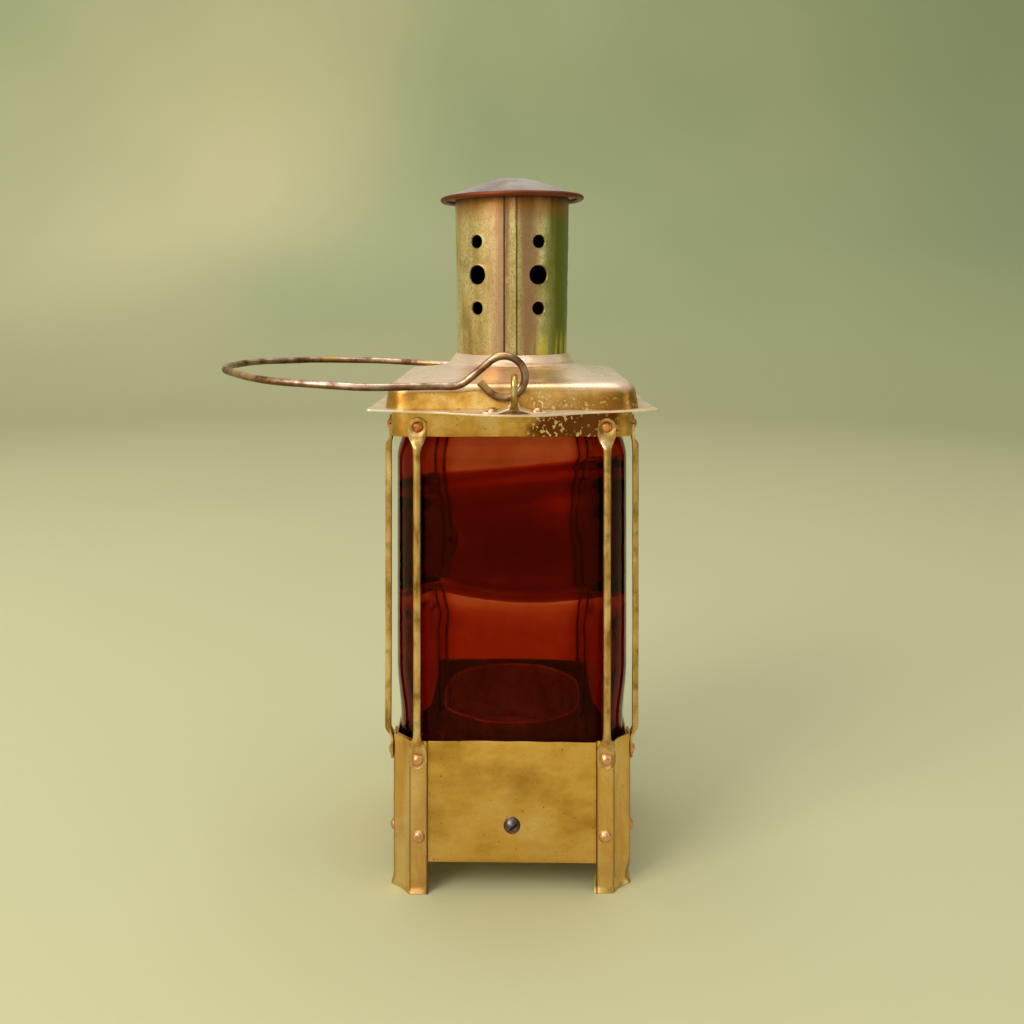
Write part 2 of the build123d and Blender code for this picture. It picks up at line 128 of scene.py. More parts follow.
def newObject(name, mesh, material=None):
    piece = bpy.data.objects.new(name, mesh)
    bpy.context.scene.collection.objects.link(piece)
    if material:
        mesh.materials.clear()
        mesh.materials.append(material)
    return piece


def applied(piece, sharpAngle=38):
    # turns the modifiers' result into a plain mesh
    bpy.context.view_layer.update()
    graph = bpy.context.evaluated_depsgraph_get()
    mesh = bpy.data.meshes.new_from_object(piece.evaluated_get(graph))
    mesh.name = piece.name
    piece.modifiers.clear()
    piece.data = mesh
    mesh.shade_smooth()
    mesh.set_sharp_from_angle(angle=radians(sharpAngle))
    return piece


def thicken(piece, thickness, edge=0.12 * mm):
    # sheet metal: the wall goes inwards from the outer face, and its cut edges are eased
    wall = piece.modifiers.new("sheet", "SOLIDIFY")
    wall.thickness = thickness
    wall.offset = -1
    wall.use_even_offset = True
    easeEdges(piece, edge)
    return applied(piece)


def cleaned(mesh, merge=0.0, fillHoles=False):
    # joins points that coincide, closes open ends and turns all faces outwards
    work = bmesh.new()
    work.from_mesh(mesh)
    if merge:
        bmesh.ops.remove_doubles(work, verts=work.verts, dist=merge)
    if fillHoles:
        bmesh.ops.holes_fill(work, edges=[e for e in work.edges if e.is_boundary], sides=0)
    bmesh.ops.recalc_face_normals(work, faces=work.faces)
    work.to_mesh(mesh)
    work.free()
    return mesh


def easeEdges(piece, width, segments=2, angle=50):
    eased = piece.modifiers.new("edges", "BEVEL")
    eased.width = width
    eased.segments = segments
    eased.limit_method = "ANGLE"
    eased.angle_limit = radians(angle)


def handOver(piece, body, slotName, *nodes):
    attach(piece, body)
    if nodes:
        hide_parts(*nodes)
    return piece


# outlines in plan

def cornerAngles(perOctant=22):
    # directions round the square, closer together towards its corners
    angles = []
    for quadrant in range(4):
        corner = pi / 4 + quadrant * pi / 2
        for step in range(perOctant, 0, -1):
            angles.append(corner - pi / 4 * (step / perOctant) ** 1.5)
        for step in range(perOctant):
            angles.append(corner + pi / 4 * (step / perOctant) ** 1.5)
    return angles


squareAngles = cornerAngles()


def roundedReach(half, radius, angle):
    # distance from the axis to a rounded square, in one direction
    turn = abs((angle + pi / 4) % (pi / 2) - pi / 4)
    side = half - radius
    if half * sin(turn) / cos(turn) <= side:
        return half / cos(turn)
    both = cos(turn) + sin(turn)
    return side * both + sqrt(max(side * side * both * both - 2 * side * side + radius * radius, 0))


def chamferedReach(half, chamfer, angle):
    turn = abs((angle + pi / 4) % (pi / 2) - pi / 4)
    return min(half / cos(turn), (2 * half - chamfer) / (cos(turn) + sin(turn)))


def roundedRow(half, radius, z, angles=squareAngles):
    row = []
    for angle in angles:
        reach = roundedReach(half, radius, angle)
        row.append(Vector((reach * cos(angle), reach * sin(angle), z)))
    return row


def fillBetween(start, end, count):
    return [start + (end - start) * step / count for step in range(count + 1)]


# metal finishes

def mixIn(tree, colour, mask, hexText):
    return addNode(tree, "ShaderNodeMix", {"data_type": "RGBA", 7: linear(hexText)},
                   {0: mask, 6: colour}).outputs[2]


def maskBetween(tree, value, start, end, most=1.0, least=0.0):
    # least at start, most at end
    limits = {"From Min": start, "From Max": end, "To Min": least, "To Max": most}
    return addNode(tree, "ShaderNodeMapRange", limits, {"Value": value}).outputs["Result"]


def mathOf(tree, operation, *values):
    # each value is a number or another node's output
    numbers = {place: value for place, value in enumerate(values) if isinstance(value, (int, float))}
    wired = {place: value for place, value in enumerate(values) if place not in numbers}
    return addNode(tree, "ShaderNodeMath", {"operation": operation, **numbers}, wired).outputs["Value"]


def axesOf(tree, coordinates):
    return addNode(tree, "ShaderNodeSeparateXYZ", None, {"Vector": coordinates}).outputs


def stretched(tree, coordinates, scale):
    return addNode(tree, "ShaderNodeMapping", {"Scale": scale}, {"Vector": coordinates}).outputs["Vector"]


def spots(tree, place, sizeMm, detail, roughness=0.5):
    # cloudy noise with spots about this many millimetres apart
    settings = {"Scale": 1000 / sizeMm, "Detail": detail, "Roughness": roughness}
    return addNode(tree, "ShaderNodeTexNoise", settings, {"Vector": place}).outputs["Fac"]


def relief(tree, height, strength, distance, under=None, invert=False):
    # bumps from a height, laid over another relief where one is given
    wired = {"Height": height, "Normal": under} if under else {"Height": height}
    settings = {"Strength": strength, "Distance": distance, "invert": invert}
    return addNode(tree, "ShaderNodeBump", settings, wired).outputs["Normal"]


def surface(tree, settings, links, **more):
    # the shader and the output it feeds
    shader = addNode(tree, "ShaderNodeBsdfPrincipled", settings, links)
    addNode(tree, "ShaderNodeOutputMaterial", None, {"Surface": shader.outputs["BSDF"], **more})
    return shader


def colourRamp(tree, value, first, *others):
    # stops are (position, colour)
    ramp = addNode(tree, "ShaderNodeValToRGB", None, {"Fac": value})
    stops = ramp.color_ramp.elements
    stops[0].position, stops[0].color = first[0], linear(first[1])
    stops[1].position, stops[1].color = others[-1][0], linear(others[-1][1])
    for position, hexText in others[:-1]:
        stops.new(position).color = linear(hexText)
    return ramp.outputs["Color"]


def product(tree, one, two):
    return mathOf(tree, "MULTIPLY", one, two)


def awayFrom(tree, value, place):
    # how far a coordinate is from a place, whichever side it is on
    return mathOf(tree, "ABSOLUTE", mathOf(tree, "SUBTRACT", value, place))


def alongFace(tree, coordinates, place):
    # distance from the lines that run up all four faces at this distance from their middles
    sides = axesOf(tree, coordinates)
    nearest = [awayFrom(tree, awayFrom(tree, sides[axis], 0.0), place) for axis in ("X", "Y")]
    return mathOf(tree, "MINIMUM", *nearest)


def metalFinish(name, look):
    # coloured metal with large stains, small specks, soft hammer marks and fine scratches
    material, tree = newMaterial(name)
    coordinates = addNode(tree, "ShaderNodeTexCoord").outputs["Object"]
    stain = spots(tree, stretched(tree, coordinates, look.get("stretch", (1, 1, 1))), look["stainMm"], 6.0,
                  0.62)
    colour = colourRamp(tree, stain, (0.5 - look["spread"], look["dark"]), (0.5, look["colour"]),
                        (0.5 + look["spread"], look["light"]))
    cloud = spots(tree, coordinates, look["cloudMm"], 3.0)
    colour = mixIn(tree, colour, maskBetween(tree, cloud, 0.52, 0.70, look["cloud"]), look["cloudColour"])
    speck = maskBetween(tree, spots(tree, coordinates, look["speckMm"], 2.0, 0.6), 0.66, 0.74, look["speck"])
    colour = mixIn(tree, colour, speck, look["speckColour"])
    if "extra" in look:
        colour = look["extra"](tree, coordinates, colour)

    polish = maskBetween(tree, stain, 0.35, 0.68, look["rough"][0], look["rough"][1])
    scratches = spots(tree, stretched(tree, coordinates, look["scratchStretch"]), look["scratchMm"], 3.0)
    dented = relief(tree, spots(tree, coordinates, look["dentMm"], 2.0), look["dent"], 0.4 * mm)
    scratched = relief(tree, scratches, look["scratch"], 0.05 * mm, dented)
    pitted = relief(tree, speck, 0.5, 0.08 * mm, scratched, invert=True)
    shader = surface(tree, {"Metallic": look.get("metallic", 1.0)},
                     {"Base Color": colour, "Roughness": mathOf(tree, "ADD", polish, speck),
                      "Normal": pitted})
    if "bare" in look:
        tree.links.new(look["bare"](tree, coordinates), shader.inputs["Metallic"])
    return material


def brassLook(**changes):
    # rolled sheet brass gone dull in the open: golden, with olive-brown clouds and small dark pits
    look = {
        "colour": "#E0AE58", "light": "#EAC27A", "dark": "#C0903E", "spread": 0.16, "stainMm": 16.0,
        "cloudColour": "#9C6E2C", "cloudMm": 26.0, "cloud": 0.4,
        "speckColour": "#5A3A14", "speckMm": 1.3, "speck": 0.5,
        "rough": (0.26, 0.42), "dentMm": 14.0, "dent": 0.22,
        "scratchMm": 0.5, "scratchStretch": (1.0, 1.0, 0.12), "scratch": 0.25,
    }
    look.update(changes)
    return look


# the base's plates: satin, mottled along the sheet's rolling direction
baseBrass = metalFinish("satinSheetBrass",
                        brassLook(stretch=(0.55, 0.55, 1.0), scratchStretch=(0.12, 0.12, 1.0)))


def paintedStripEdgeShade(tree, coordinates, colour):
    # painted shade: dark lines along both edges of a post's strips, where the strips stand proud of the shell
    for place, depth in ((31.9 * mm, 0.85), (38.4 * mm, 0.5)):
        line = maskBetween(tree, alongFace(tree, coordinates, place), 0.6 * mm, 0.15 * mm, depth)
        colour = mixIn(tree, colour, line, "#5E3C18")
    return colour


# posts: the same sheet, brighter and rubbed pink along their length, with painted shade along the strips'
# edges
postBrass = metalFinish("rubbedSheetBrass", brassLook(
    colour="#DCAE60", light="#EAC888", dark="#BE8C40", cloudColour="#D09A68", cloudMm=14.0, cloud=0.7,
    stretch=(1.0, 1.0, 0.25), speck=0.35, rough=(0.2, 0.36), extra=paintedStripEdgeShade))


def paintedBarFlankShade(tree, coordinates, colour):
    # painted shade: the flanks of each bar are painted dark brown
    sides = axesOf(tree, coordinates)
    flank = awayFrom(tree, awayFrom(tree, awayFrom(tree, sides["X"], 0.0), 35.5 * mm), 1.6 * mm)
    bar = maskBetween(tree, awayFrom(tree, sides["Z"], 113 * mm), 54 * mm, 49 * mm)
    return mixIn(tree, colour, product(tree, maskBetween(tree, flank, 0.5 * mm, 0.2 * mm, 0.75), bar),
                 "#5A3818")


# rods: drawn half-round bar, with brown clouds, painted shade along its flanks, and bright where it is
# handled
rodBrass = metalFinish("drawnBarBrass", brassLook(
    colour="#D0A464", light="#E6C690", dark="#96702F", stainMm=5.0, stretch=(1.0, 1.0, 0.35),
    cloudColour="#7A5426", cloudMm=6.0, cloud=0.7, speckMm=0.8, speck=0.7, rough=(0.24, 0.42),
    extra=paintedBarFlankShade))


def hoodPaintedSkyReflection(tree, coordinates):
    # painted sky reflection: pale on the top panels and the collar, weaker on the slope towards the front
    sides = axesOf(tree, coordinates)
    upperHood = maskBetween(tree, sides["Z"], 188 * mm, 192.5 * mm)
    sideways = maskBetween(tree, awayFrom(tree, sides["X"], 2 * mm), 12 * mm, 24 * mm, 0.8, 0.3)
    above = maskBetween(tree, sides["Z"], 195.5 * mm, 198 * mm, 0.6)
    return product(tree, upperHood, mathOf(tree, "MAXIMUM", sideways, above))


# less metallic where the pale painted sky reflection lies
def hoodMetallicOutsideReflection(tree, coordinates):
    return maskBetween(tree, hoodPaintedSkyReflection(tree, coordinates), 1.25, 0.0)


def hoodStainsAndSkyReflection(tree, coordinates, colour):
    # painted sky reflection above; the front right is burnt brown and eaten in pale specks
    sides = axesOf(tree, coordinates)
    patchy = spots(tree, coordinates, 9.0, 3.0)
    colour = mixIn(tree, colour, hoodPaintedSkyReflection(tree, coordinates), "#E2CFBE")
    front = maskBetween(tree, sides["Y"], -38 * mm, -44 * mm)
    across = mathOf(tree, "ADD", sides["X"], mathOf(tree, "MULTIPLY_ADD", patchy, 34 * mm, -17 * mm))
    right = product(tree, maskBetween(tree, across, 3 * mm, 12 * mm), front)
    right = product(tree, right, maskBetween(tree, sides["X"], 41 * mm, 38.5 * mm))
    band = maskBetween(tree, sides["Z"], 182 * mm, 181 * mm, 0.94)
    face = product(tree, maskBetween(tree, sides["Z"], 181 * mm, 182 * mm, 0.62),
                   maskBetween(tree, sides["Z"], 191 * mm, 186 * mm))
    colour = mixIn(tree, colour, product(tree, right, band), "#6A3012")
    colour = mixIn(tree, colour, product(tree, right, face), "#94602C")
    specks = maskBetween(tree, spots(tree, coordinates, 1.5, 2.0), 0.575, 0.615)
    crowd = maskBetween(tree, patchy, 0.38, 0.5)
    low = maskBetween(tree, sides["Z"], 188.5 * mm, 186 * mm, 0.95)
    zone = product(tree, product(tree, maskBetween(tree, sides["X"], 2 * mm, 9 * mm), front),
                   product(tree, crowd, low))
    return mixIn(tree, colour, product(tree, specks, zone), "#E4C488")


# hood and band: pressed brass, polished yellow on the slopes, with a pale painted sky reflection on top, and
# burnt on the front right
hoodBrass = metalFinish("pressedHoodBrass", brassLook(
    colour="#D6A24E", light="#E8C484", dark="#A87430", cloudMm=15.0, cloud=0.6, rough=(0.22, 0.36),
    extra=hoodStainsAndSkyReflection,
    bare=hoodMetallicOutsideReflection))
# brim and straps: pressed brass under a pale, half-matt film of oxide
brimBrass = metalFinish("filmedBrimBrass", brassLook(
    colour="#E8D2B2", light="#F0E2CC", dark="#D0B08A", cloudColour="#C8A05A", cloud=0.4, speck=0.3,
    rough=(0.26, 0.4), metallic=0.6))


def tubeStainsAndPaintedLight(tree, coordinates, colour):
    # a pink-brown heat stain on both sides of the seam, a painted green reflection on the right, painted
    # shade along the seam's edges, and darker red-brown just under the cap
    sides = axesOf(tree, coordinates)
    streak = spots(tree, stretched(tree, coordinates, (1.0, 1.0, 0.06)), 2.6, 3.0)
    across = mathOf(tree, "ADD", sides["X"], mathOf(tree, "MULTIPLY_ADD", streak, 7 * mm, -3.5 * mm))
    front = maskBetween(tree, sides["Y"], 4 * mm, -4 * mm)
    grain = spots(tree, coordinates, 0.9, 2.0)
    colour = mixIn(tree, colour, maskBetween(tree, grain, 0.5, 0.62, 0.45), "#8E7440")
    for start, full, fade, end in ((-12, -5, -2.5, -1), (3, 5, 8, 12)):
        left = maskBetween(tree, across, start * mm, full * mm, 0.8)
        right = maskBetween(tree, across, end * mm, fade * mm)
        colour = mixIn(tree, colour, product(tree, product(tree, left, right), front), "#A67A62")
    # painted reflection: the right of the front is tinted green
    greenReflection = product(tree, maskBetween(tree, across, 10 * mm, 18 * mm, 0.95), front)
    colour = mixIn(tree, colour, greenReflection, "#6A7412")
    damp = product(tree, product(tree, maskBetween(tree, sides["Z"], 212 * mm, 204 * mm), front),
                   maskBetween(tree, across, 6 * mm, 12 * mm, 0.8))
    colour = mixIn(tree, colour, product(tree, damp, maskBetween(tree, streak, 0.45, 0.55)), "#D8C648")
    # darker, red-brown towards the top of the tube, just under the cap
    nearCap = mathOf(tree, "MULTIPLY_ADD", streak, 6 * mm, sides["Z"])
    colour = mixIn(tree, colour, maskBetween(tree, nearCap, 257 * mm, 264 * mm, 0.8), "#A0662C")
    colour = mixIn(tree, colour, maskBetween(tree, nearCap, 264 * mm, 268 * mm, 0.85), "#5C2C10")
    # painted shade: dark lines along both edges of the seam's raised strip
    for place, depth in ((-3.1 * mm, 0.9), (1.9 * mm, 0.6)):
        line = maskBetween(tree, awayFrom(tree, sides["X"], place), 0.55 * mm, 0.2 * mm, depth)
        colour = mixIn(tree, colour, product(tree, line, front), "#2E1A10")
    return colour


# chimney: weathered brass, pale olive-tan with streaks running down from the vents
tubeBrass = metalFinish("weatheredTubeBrass", brassLook(
    colour="#D0B880", light="#E2CE9C", dark="#A88C50", cloudColour="#9A7E48", cloudMm=11.0, cloud=0.5,
    stainMm=7.0, stretch=(1.0, 1.0, 0.22), speckMm=1.0, speck=0.5, rough=(0.28, 0.44), metallic=0.72,
    extra=tubeStainsAndPaintedLight))


def rimBrown(tree, coordinates, colour):
    # the rolled rim has gone dark red-brown with heat
    flat = addNode(tree, "ShaderNodeVectorMath", {"operation": "MULTIPLY", 1: (1, 1, 0)}, {0: coordinates})
    away = addNode(tree, "ShaderNodeVectorMath", {"operation": "LENGTH"}, {0: flat.outputs["Vector"]})
    return mixIn(tree, colour, maskBetween(tree, away.outputs["Value"], 27.9 * mm, 28.9 * mm, 0.95),
                 "#74361A")


# cap: brass painted grey all over, a painted reflection of a grey sky; its rolled rim is dark red-brown
capPaintedSkyGrey = metalFinish("dullCapBrass", brassLook(
    colour="#A69C92", light="#B8AFA6", dark="#8C8076", cloudColour="#94806E", cloudMm=10.0, cloud=0.4,
    rough=(0.42, 0.55), extra=rimBrown))


def paintedUndersideShade(tree, coordinates, colour):
    # painted shade: the side of the wire that faces down is painted dark brown
    facing = addNode(tree, "ShaderNodeTexCoord").outputs["Normal"]
    up = axesOf(tree, facing)["Z"]
    return mixIn(tree, colour, maskBetween(tree, up, 0.25, -0.45, 0.8), "#4E2C18")


# bail and links: brass wire, brown with tarnish and worn to bare yellow in places; the bail also has painted
# shade on its underside
wireBrass = metalFinish("tarnishedWireBrass", brassLook(
    colour="#A88670", light="#CDB6A4", dark="#6E4630", spread=0.12, stainMm=8.0, cloudColour="#D2A452",
    cloudMm=11.0, cloud=0.8, speckMm=0.7, speck=0.6, rough=(0.28, 0.5), scratch=0.4, extra=paintedUndersideShade))
linkBrass = metalFinish("rubbedWireBrass", brassLook(
    colour="#C29A4C", light="#D9CBA4", dark="#8C6A34", stainMm=4.0, cloudColour="#6E4C24", cloudMm=5.0,
    cloud=0.5,
    speckMm=0.7, speck=0.4, rough=(0.24, 0.42)))
# inside of the chimney: brass blackened by candle soot
sootyBrass = metalFinish("sootyBrass", brassLook(
    colour="#1E1812", light="#33281C", dark="#0E0A08", cloudColour="#0A0808", speckColour="#060504",
    rough=(0.6, 0.85)))


def rubbedPale(tree, coordinates, colour):
    # the rivets round the base and on the straps are rubbed paler than those on the band
    height = axesOf(tree, coordinates)["Z"]
    away = awayFrom(tree, height, 125 * mm)
    return mixIn(tree, colour, maskBetween(tree, away, 53 * mm, 57 * mm, 0.6), "#E8BE92")


# rivets: soft copper, set with a hammer
rivetCopper = metalFinish("hammeredCopper", brassLook(
    colour="#DA8450", light="#F0B088", dark="#8A4424", stainMm=3.0, cloudColour="#5E2C16", cloudMm=5.0,
    cloud=0.5,
    speckMm=0.6, speck=0.5, rough=(0.22, 0.42), dentMm=1.6, dent=0.5, extra=rubbedPale))
innerBrass = metalFinish("dullInnerBrass", brassLook(
    colour="#D2AC6A", light="#E2C284", dark="#A88446", rough=(0.35, 0.55)))
darkSteel = metalFinish("wornDarkSteel", brassLook(
    colour="#6A5C5E", light="#8E8082", dark="#40363A", stainMm=2.5, cloudColour="#5A3420", cloudMm=4.0,
    cloud=0.6,
    speckMm=0.6, rough=(0.28, 0.45), dentMm=2.0))
print("metals made")


# geometry node trees

def newTree(name, inputs):
    tree = bpy.data.node_groups.new(name, "GeometryNodeTree")
    tree.interface.new_socket("Geometry", in_out="INPUT", socket_type="NodeSocketGeometry")
    for inputName, (kind, value) in inputs.items():
        socket = tree.interface.new_socket(inputName, in_out="INPUT", socket_type=kind)
        if value is not None:
            socket.default_value = value
    tree.interface.new_socket("Geometry", in_out="OUTPUT", socket_type="NodeSocketGeometry")
    return tree


def addTree(piece, tree, values):
    # inputs go in by their sockets' identifiers, before the piece is first evaluated
    grown = piece.modifiers.new(tree.name, "NODES")
    grown.node_group = tree
    for item in tree.interface.items_tree:
        if item.item_type == "SOCKET" and item.in_out == "INPUT" and item.name in values:
            grown[item.identifier] = values[item.name]


def runTree(piece, tree, values):
    addTree(piece, tree, values)
    return applied(piece)


def makePatternTree():
    # sets a copy of one pattern piece on every point, turned as the point says
    tree = newTree("patternOnPoints", {
        "Pattern": ("NodeSocketObject", None), "Spin": ("NodeSocketFloat", 0.0),
        "Size Spread": ("NodeSocketFloat", 0.0), "Bend": ("NodeSocketFloat", 0.0),
        "Bend Length": ("NodeSocketFloat", 0.05), "Seed": ("NodeSocketInt", 1),
        "Material": ("NodeSocketMaterial", None)})
    given = addNode(tree, "NodeGroupInput").outputs
    pattern = addNode(tree, "GeometryNodeObjectInfo", {"transform_space": "ORIGINAL"},
                      {"Object": given["Pattern"]})
    turn = addNode(tree, "GeometryNodeInputNamedAttribute", {"data_type": "FLOAT_VECTOR", "Name": "turn"})
    facing = addNode(tree, "FunctionNodeEulerToRotation", None, {"Euler": turn.outputs["Attribute"]})
    chances = []
    for seed in (given["Seed"], mathOf(tree, "ADD", given["Seed"], 11.0)):
        chance = addNode(tree, "FunctionNodeRandomValue", {"data_type": "FLOAT", 2: -1.0, 3: 1.0},
                         {"Seed": seed})
        chances.append(chance.outputs[1])
    spin = mathOf(tree, "MULTIPLY", chances[0], given["Spin"])
    size = mathOf(tree, "MULTIPLY_ADD", chances[1], given["Size Spread"], 1.0)
    spinTurn = addNode(tree, "ShaderNodeCombineXYZ", None, {"Z": spin})
    spinRotation = addNode(tree, "FunctionNodeEulerToRotation", None, {"Euler": spinTurn.outputs["Vector"]})
    rotation = addNode(tree, "FunctionNodeRotateRotation", {"rotation_space": "LOCAL"},
                       {"Rotation": facing.outputs["Rotation"],
                        "Rotate By": spinRotation.outputs["Rotation"]})
    placed = addNode(tree, "GeometryNodeInstanceOnPoints", None,
                     {"Points": given["Geometry"], "Instance": pattern.outputs["Geometry"],
                      "Rotation": rotation.outputs["Rotation"], "Scale": size})
    real = addNode(tree, "GeometryNodeRealizeInstances", None, {"Geometry": placed.outputs["Instances"]})
    where = addNode(tree, "GeometryNodeInputPosition")
    perLength = mathOf(tree, "DIVIDE", 1.0, given["Bend Length"])
    smaller = addNode(tree, "ShaderNodeVectorMath", {"operation": "SCALE"},
                      {0: where.outputs["Position"], "Scale": perLength})
    drift = addNode(tree, "ShaderNodeTexNoise", {"Scale": 1.0, "Detail": 0.0},
                    {"Vector": smaller.outputs["Vector"]})
    centred = addNode(tree, "ShaderNodeVectorMath", {"operation": "SUBTRACT", 1: (0.5, 0.5, 0.5)},
                      {0: drift.outputs["Color"]})
    bend = addNode(tree, "ShaderNodeVectorMath", {"operation": "SCALE"},
                   {0: centred.outputs["Vector"], "Scale": given["Bend"]})
    bent = addNode(tree, "GeometryNodeSetPosition", None,
                   {"Geometry": real.outputs["Geometry"], "Offset": bend.outputs["Vector"]})
    coloured = addNode(tree, "GeometryNodeSetMaterial", None,
                       {"Geometry": bent.outputs["Geometry"], "Material": given["Material"]})
    addNode(tree, "NodeGroupOutput", None, {"Geometry": coloured.outputs["Geometry"]})
    return tree


def makeWireTree():
    # round wire drawn along a path, a little uneven as hand-bent wire is
    tree = newTree("wireAlongPath", {
        "Wire Radius": ("NodeSocketFloat", 0.0015), "Unevenness": ("NodeSocketFloat", 0.05),
        "Sides": ("NodeSocketInt", 20), "Material": ("NodeSocketMaterial", None)})
    given = addNode(tree, "NodeGroupInput").outputs
    where = addNode(tree, "GeometryNodeInputPosition")
    uneven = addNode(tree, "ShaderNodeTexNoise", {"Scale": 140.0, "Detail": 1.0},
                     {"Vector": where.outputs["Position"]})
    centred = mathOf(tree, "SUBTRACT", uneven.outputs["Fac"], 0.5)
    radius = mathOf(tree, "MULTIPLY_ADD", centred, given["Unevenness"], 1.0)
    sized = addNode(tree, "GeometryNodeSetCurveRadius", None,
                    {"Curve": given["Geometry"], "Radius": radius})
    ring = addNode(tree, "GeometryNodeCurvePrimitiveCircle", None,
                   {"Resolution": given["Sides"], "Radius": given["Wire Radius"]})
    drawn = addNode(tree, "GeometryNodeCurveToMesh", {"Fill Caps": True},
                    {"Curve": sized.outputs["Curve"], "Profile Curve": ring.outputs["Curve"]})
    whole = addNode(tree, "GeometryNodeRealizeInstances", None, {"Geometry": drawn.outputs["Mesh"]})
    coloured = addNode(tree, "GeometryNodeSetMaterial", None,
                       {"Geometry": whole.outputs["Geometry"], "Material": given["Material"]})
    addNode(tree, "NodeGroupOutput", None, {"Geometry": coloured.outputs["Geometry"]})
    return tree


patternTree = makePatternTree()
wireTree = makeWireTree()


def pointsPiece(name, places):
    # places are (position, Euler turn)
    mesh = bpy.data.meshes.new(name)
    mesh.from_pydata([place for place, turn in places], [], [])
    turns = mesh.attributes.new("turn", "FLOAT_VECTOR", "POINT")
    for index, (place, turn) in enumerate(places):
        turns.data[index].vector = turn
    return newObject(name, mesh)


def wirePiece(name, points, closed, radius, material, unevenness=0.06):
    curve = bpy.data.curves.new(name, "CURVE")
    curve.dimensions = "3D"
    spline = curve.splines.new("POLY")
    spline.points.add(len(points) - 1)
    for place, point in zip(spline.points, points):
        place.co = (*point, 1)
    spline.use_cyclic_u = closed
    path = bpy.data.objects.new(name + "Path", curve)
    bpy.context.scene.collection.objects.link(path)
    addTree(path, wireTree, {"Wire Radius": radius, "Unevenness": unevenness, "Sides": 20,
                             "Material": material})
    bpy.context.view_layer.update()
    graph = bpy.context.evaluated_depsgraph_get()
    mesh = bpy.data.meshes.new_from_object(path.evaluated_get(graph))
    bpy.data.objects.remove(path)
    bpy.data.curves.remove(curve)
    mesh.shade_smooth()
    mesh.set_sharp_from_angle(angle=radians(50))
    return newObject(name, mesh)


# base shell and corner posts

shellLow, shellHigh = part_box("base_shell")
sheetSizes = {"sheet": 0.8 * mm, "post": 0.9 * mm}
shellSizes = {"chamfer": 7.25 * mm, "sag": 0.22 * mm, "edgeWave": 0.25 * mm, "slant": 0.9 * mm}
faceOut = shellHigh.x + sheetSizes["post"]
postSizes = {
    "stripInner": 31.7 * mm, "stripOuter": 38.5 * mm, "cove": 0.75 * mm, "bend": 0.7 * mm,
    "footStart": 11.0 * mm, "lip": 2.6 * mm, "lipOut": 1.0 * mm, "edgeWave": 0.25 * mm,
}
footLean = {"front_left": 0.1 * mm, "front_right": 1.0 * mm, "back_right": 0.7 * mm, "back_left": 0.5 * mm}


def makeShell():
    rows = []
    for z in fillBetween(shellLow.z, shellHigh.z, 24):
        row = []
        for angle in squareAngles:
            reach = chamferedReach(shellHigh.x, shellSizes["chamfer"], angle)
            spot = Vector((reach * cos(angle), reach * sin(angle), z))
            spot *= 1 - abs(wobble(spot, 30 * mm, 1)) * shellSizes["sag"] / reach
            edge = max(0, 1 - (shellHigh.z - z) / (2 * mm))
            spot.z = z + edge * shellSizes["edgeWave"] * (wobble(spot, 9 * mm, 2) - 0.4)
            spot.z -= shellSizes["slant"] * (spot.x / shellHigh.x + 1) / 2 * ease(-spot.y, 0, shellHigh.y)
            row.append(spot)
        rows.append(row)
    shell = newObject("baseShell", meshFromRows("baseShell", rows), baseBrass)
    return thicken(shell, sheetSizes["sheet"], 0.28 * mm)


def bentPath(points, bend, steps=4):
    # a flat path with its corners rounded off
    path = [Vector(points[0])]
    for before, corner, after in zip(points, points[1:], points[2:]):
        before, corner, after = Vector(before), Vector(corner), Vector(after)
        start = corner + (before - corner).normalized() * bend
        end = corner + (after - corner).normalized() * bend
        for step in range(steps + 1):
            t = step / steps
            path.append(start.lerp(corner, t).lerp(corner.lerp(end, t), t))
    path.append(Vector(points[-1]))
    return path


def postProfile():
    # the front left post in plan, from its left strip round to its front strip
    inner, outer = postSizes["stripInner"], postSizes["stripOuter"]
    corners = [(-faceOut, -inner), (-faceOut, -(inner + outer) / 2), (-faceOut, -outer)]
    coveSteps = 6
    for step in range(1, coveSteps):
        t = step / coveSteps
        hollow = postSizes["cove"] * sin(pi * t) / sqrt(2)
        x = -faceOut + (faceOut - outer) * t
        corners.append((x + hollow, -outer - (faceOut - outer) * t + hollow))
    corners += [(-outer, -faceOut), (-(inner + outer) / 2, -faceOut), (-inner, -faceOut)]
    return bentPath(corners, postSizes["bend"], 3)


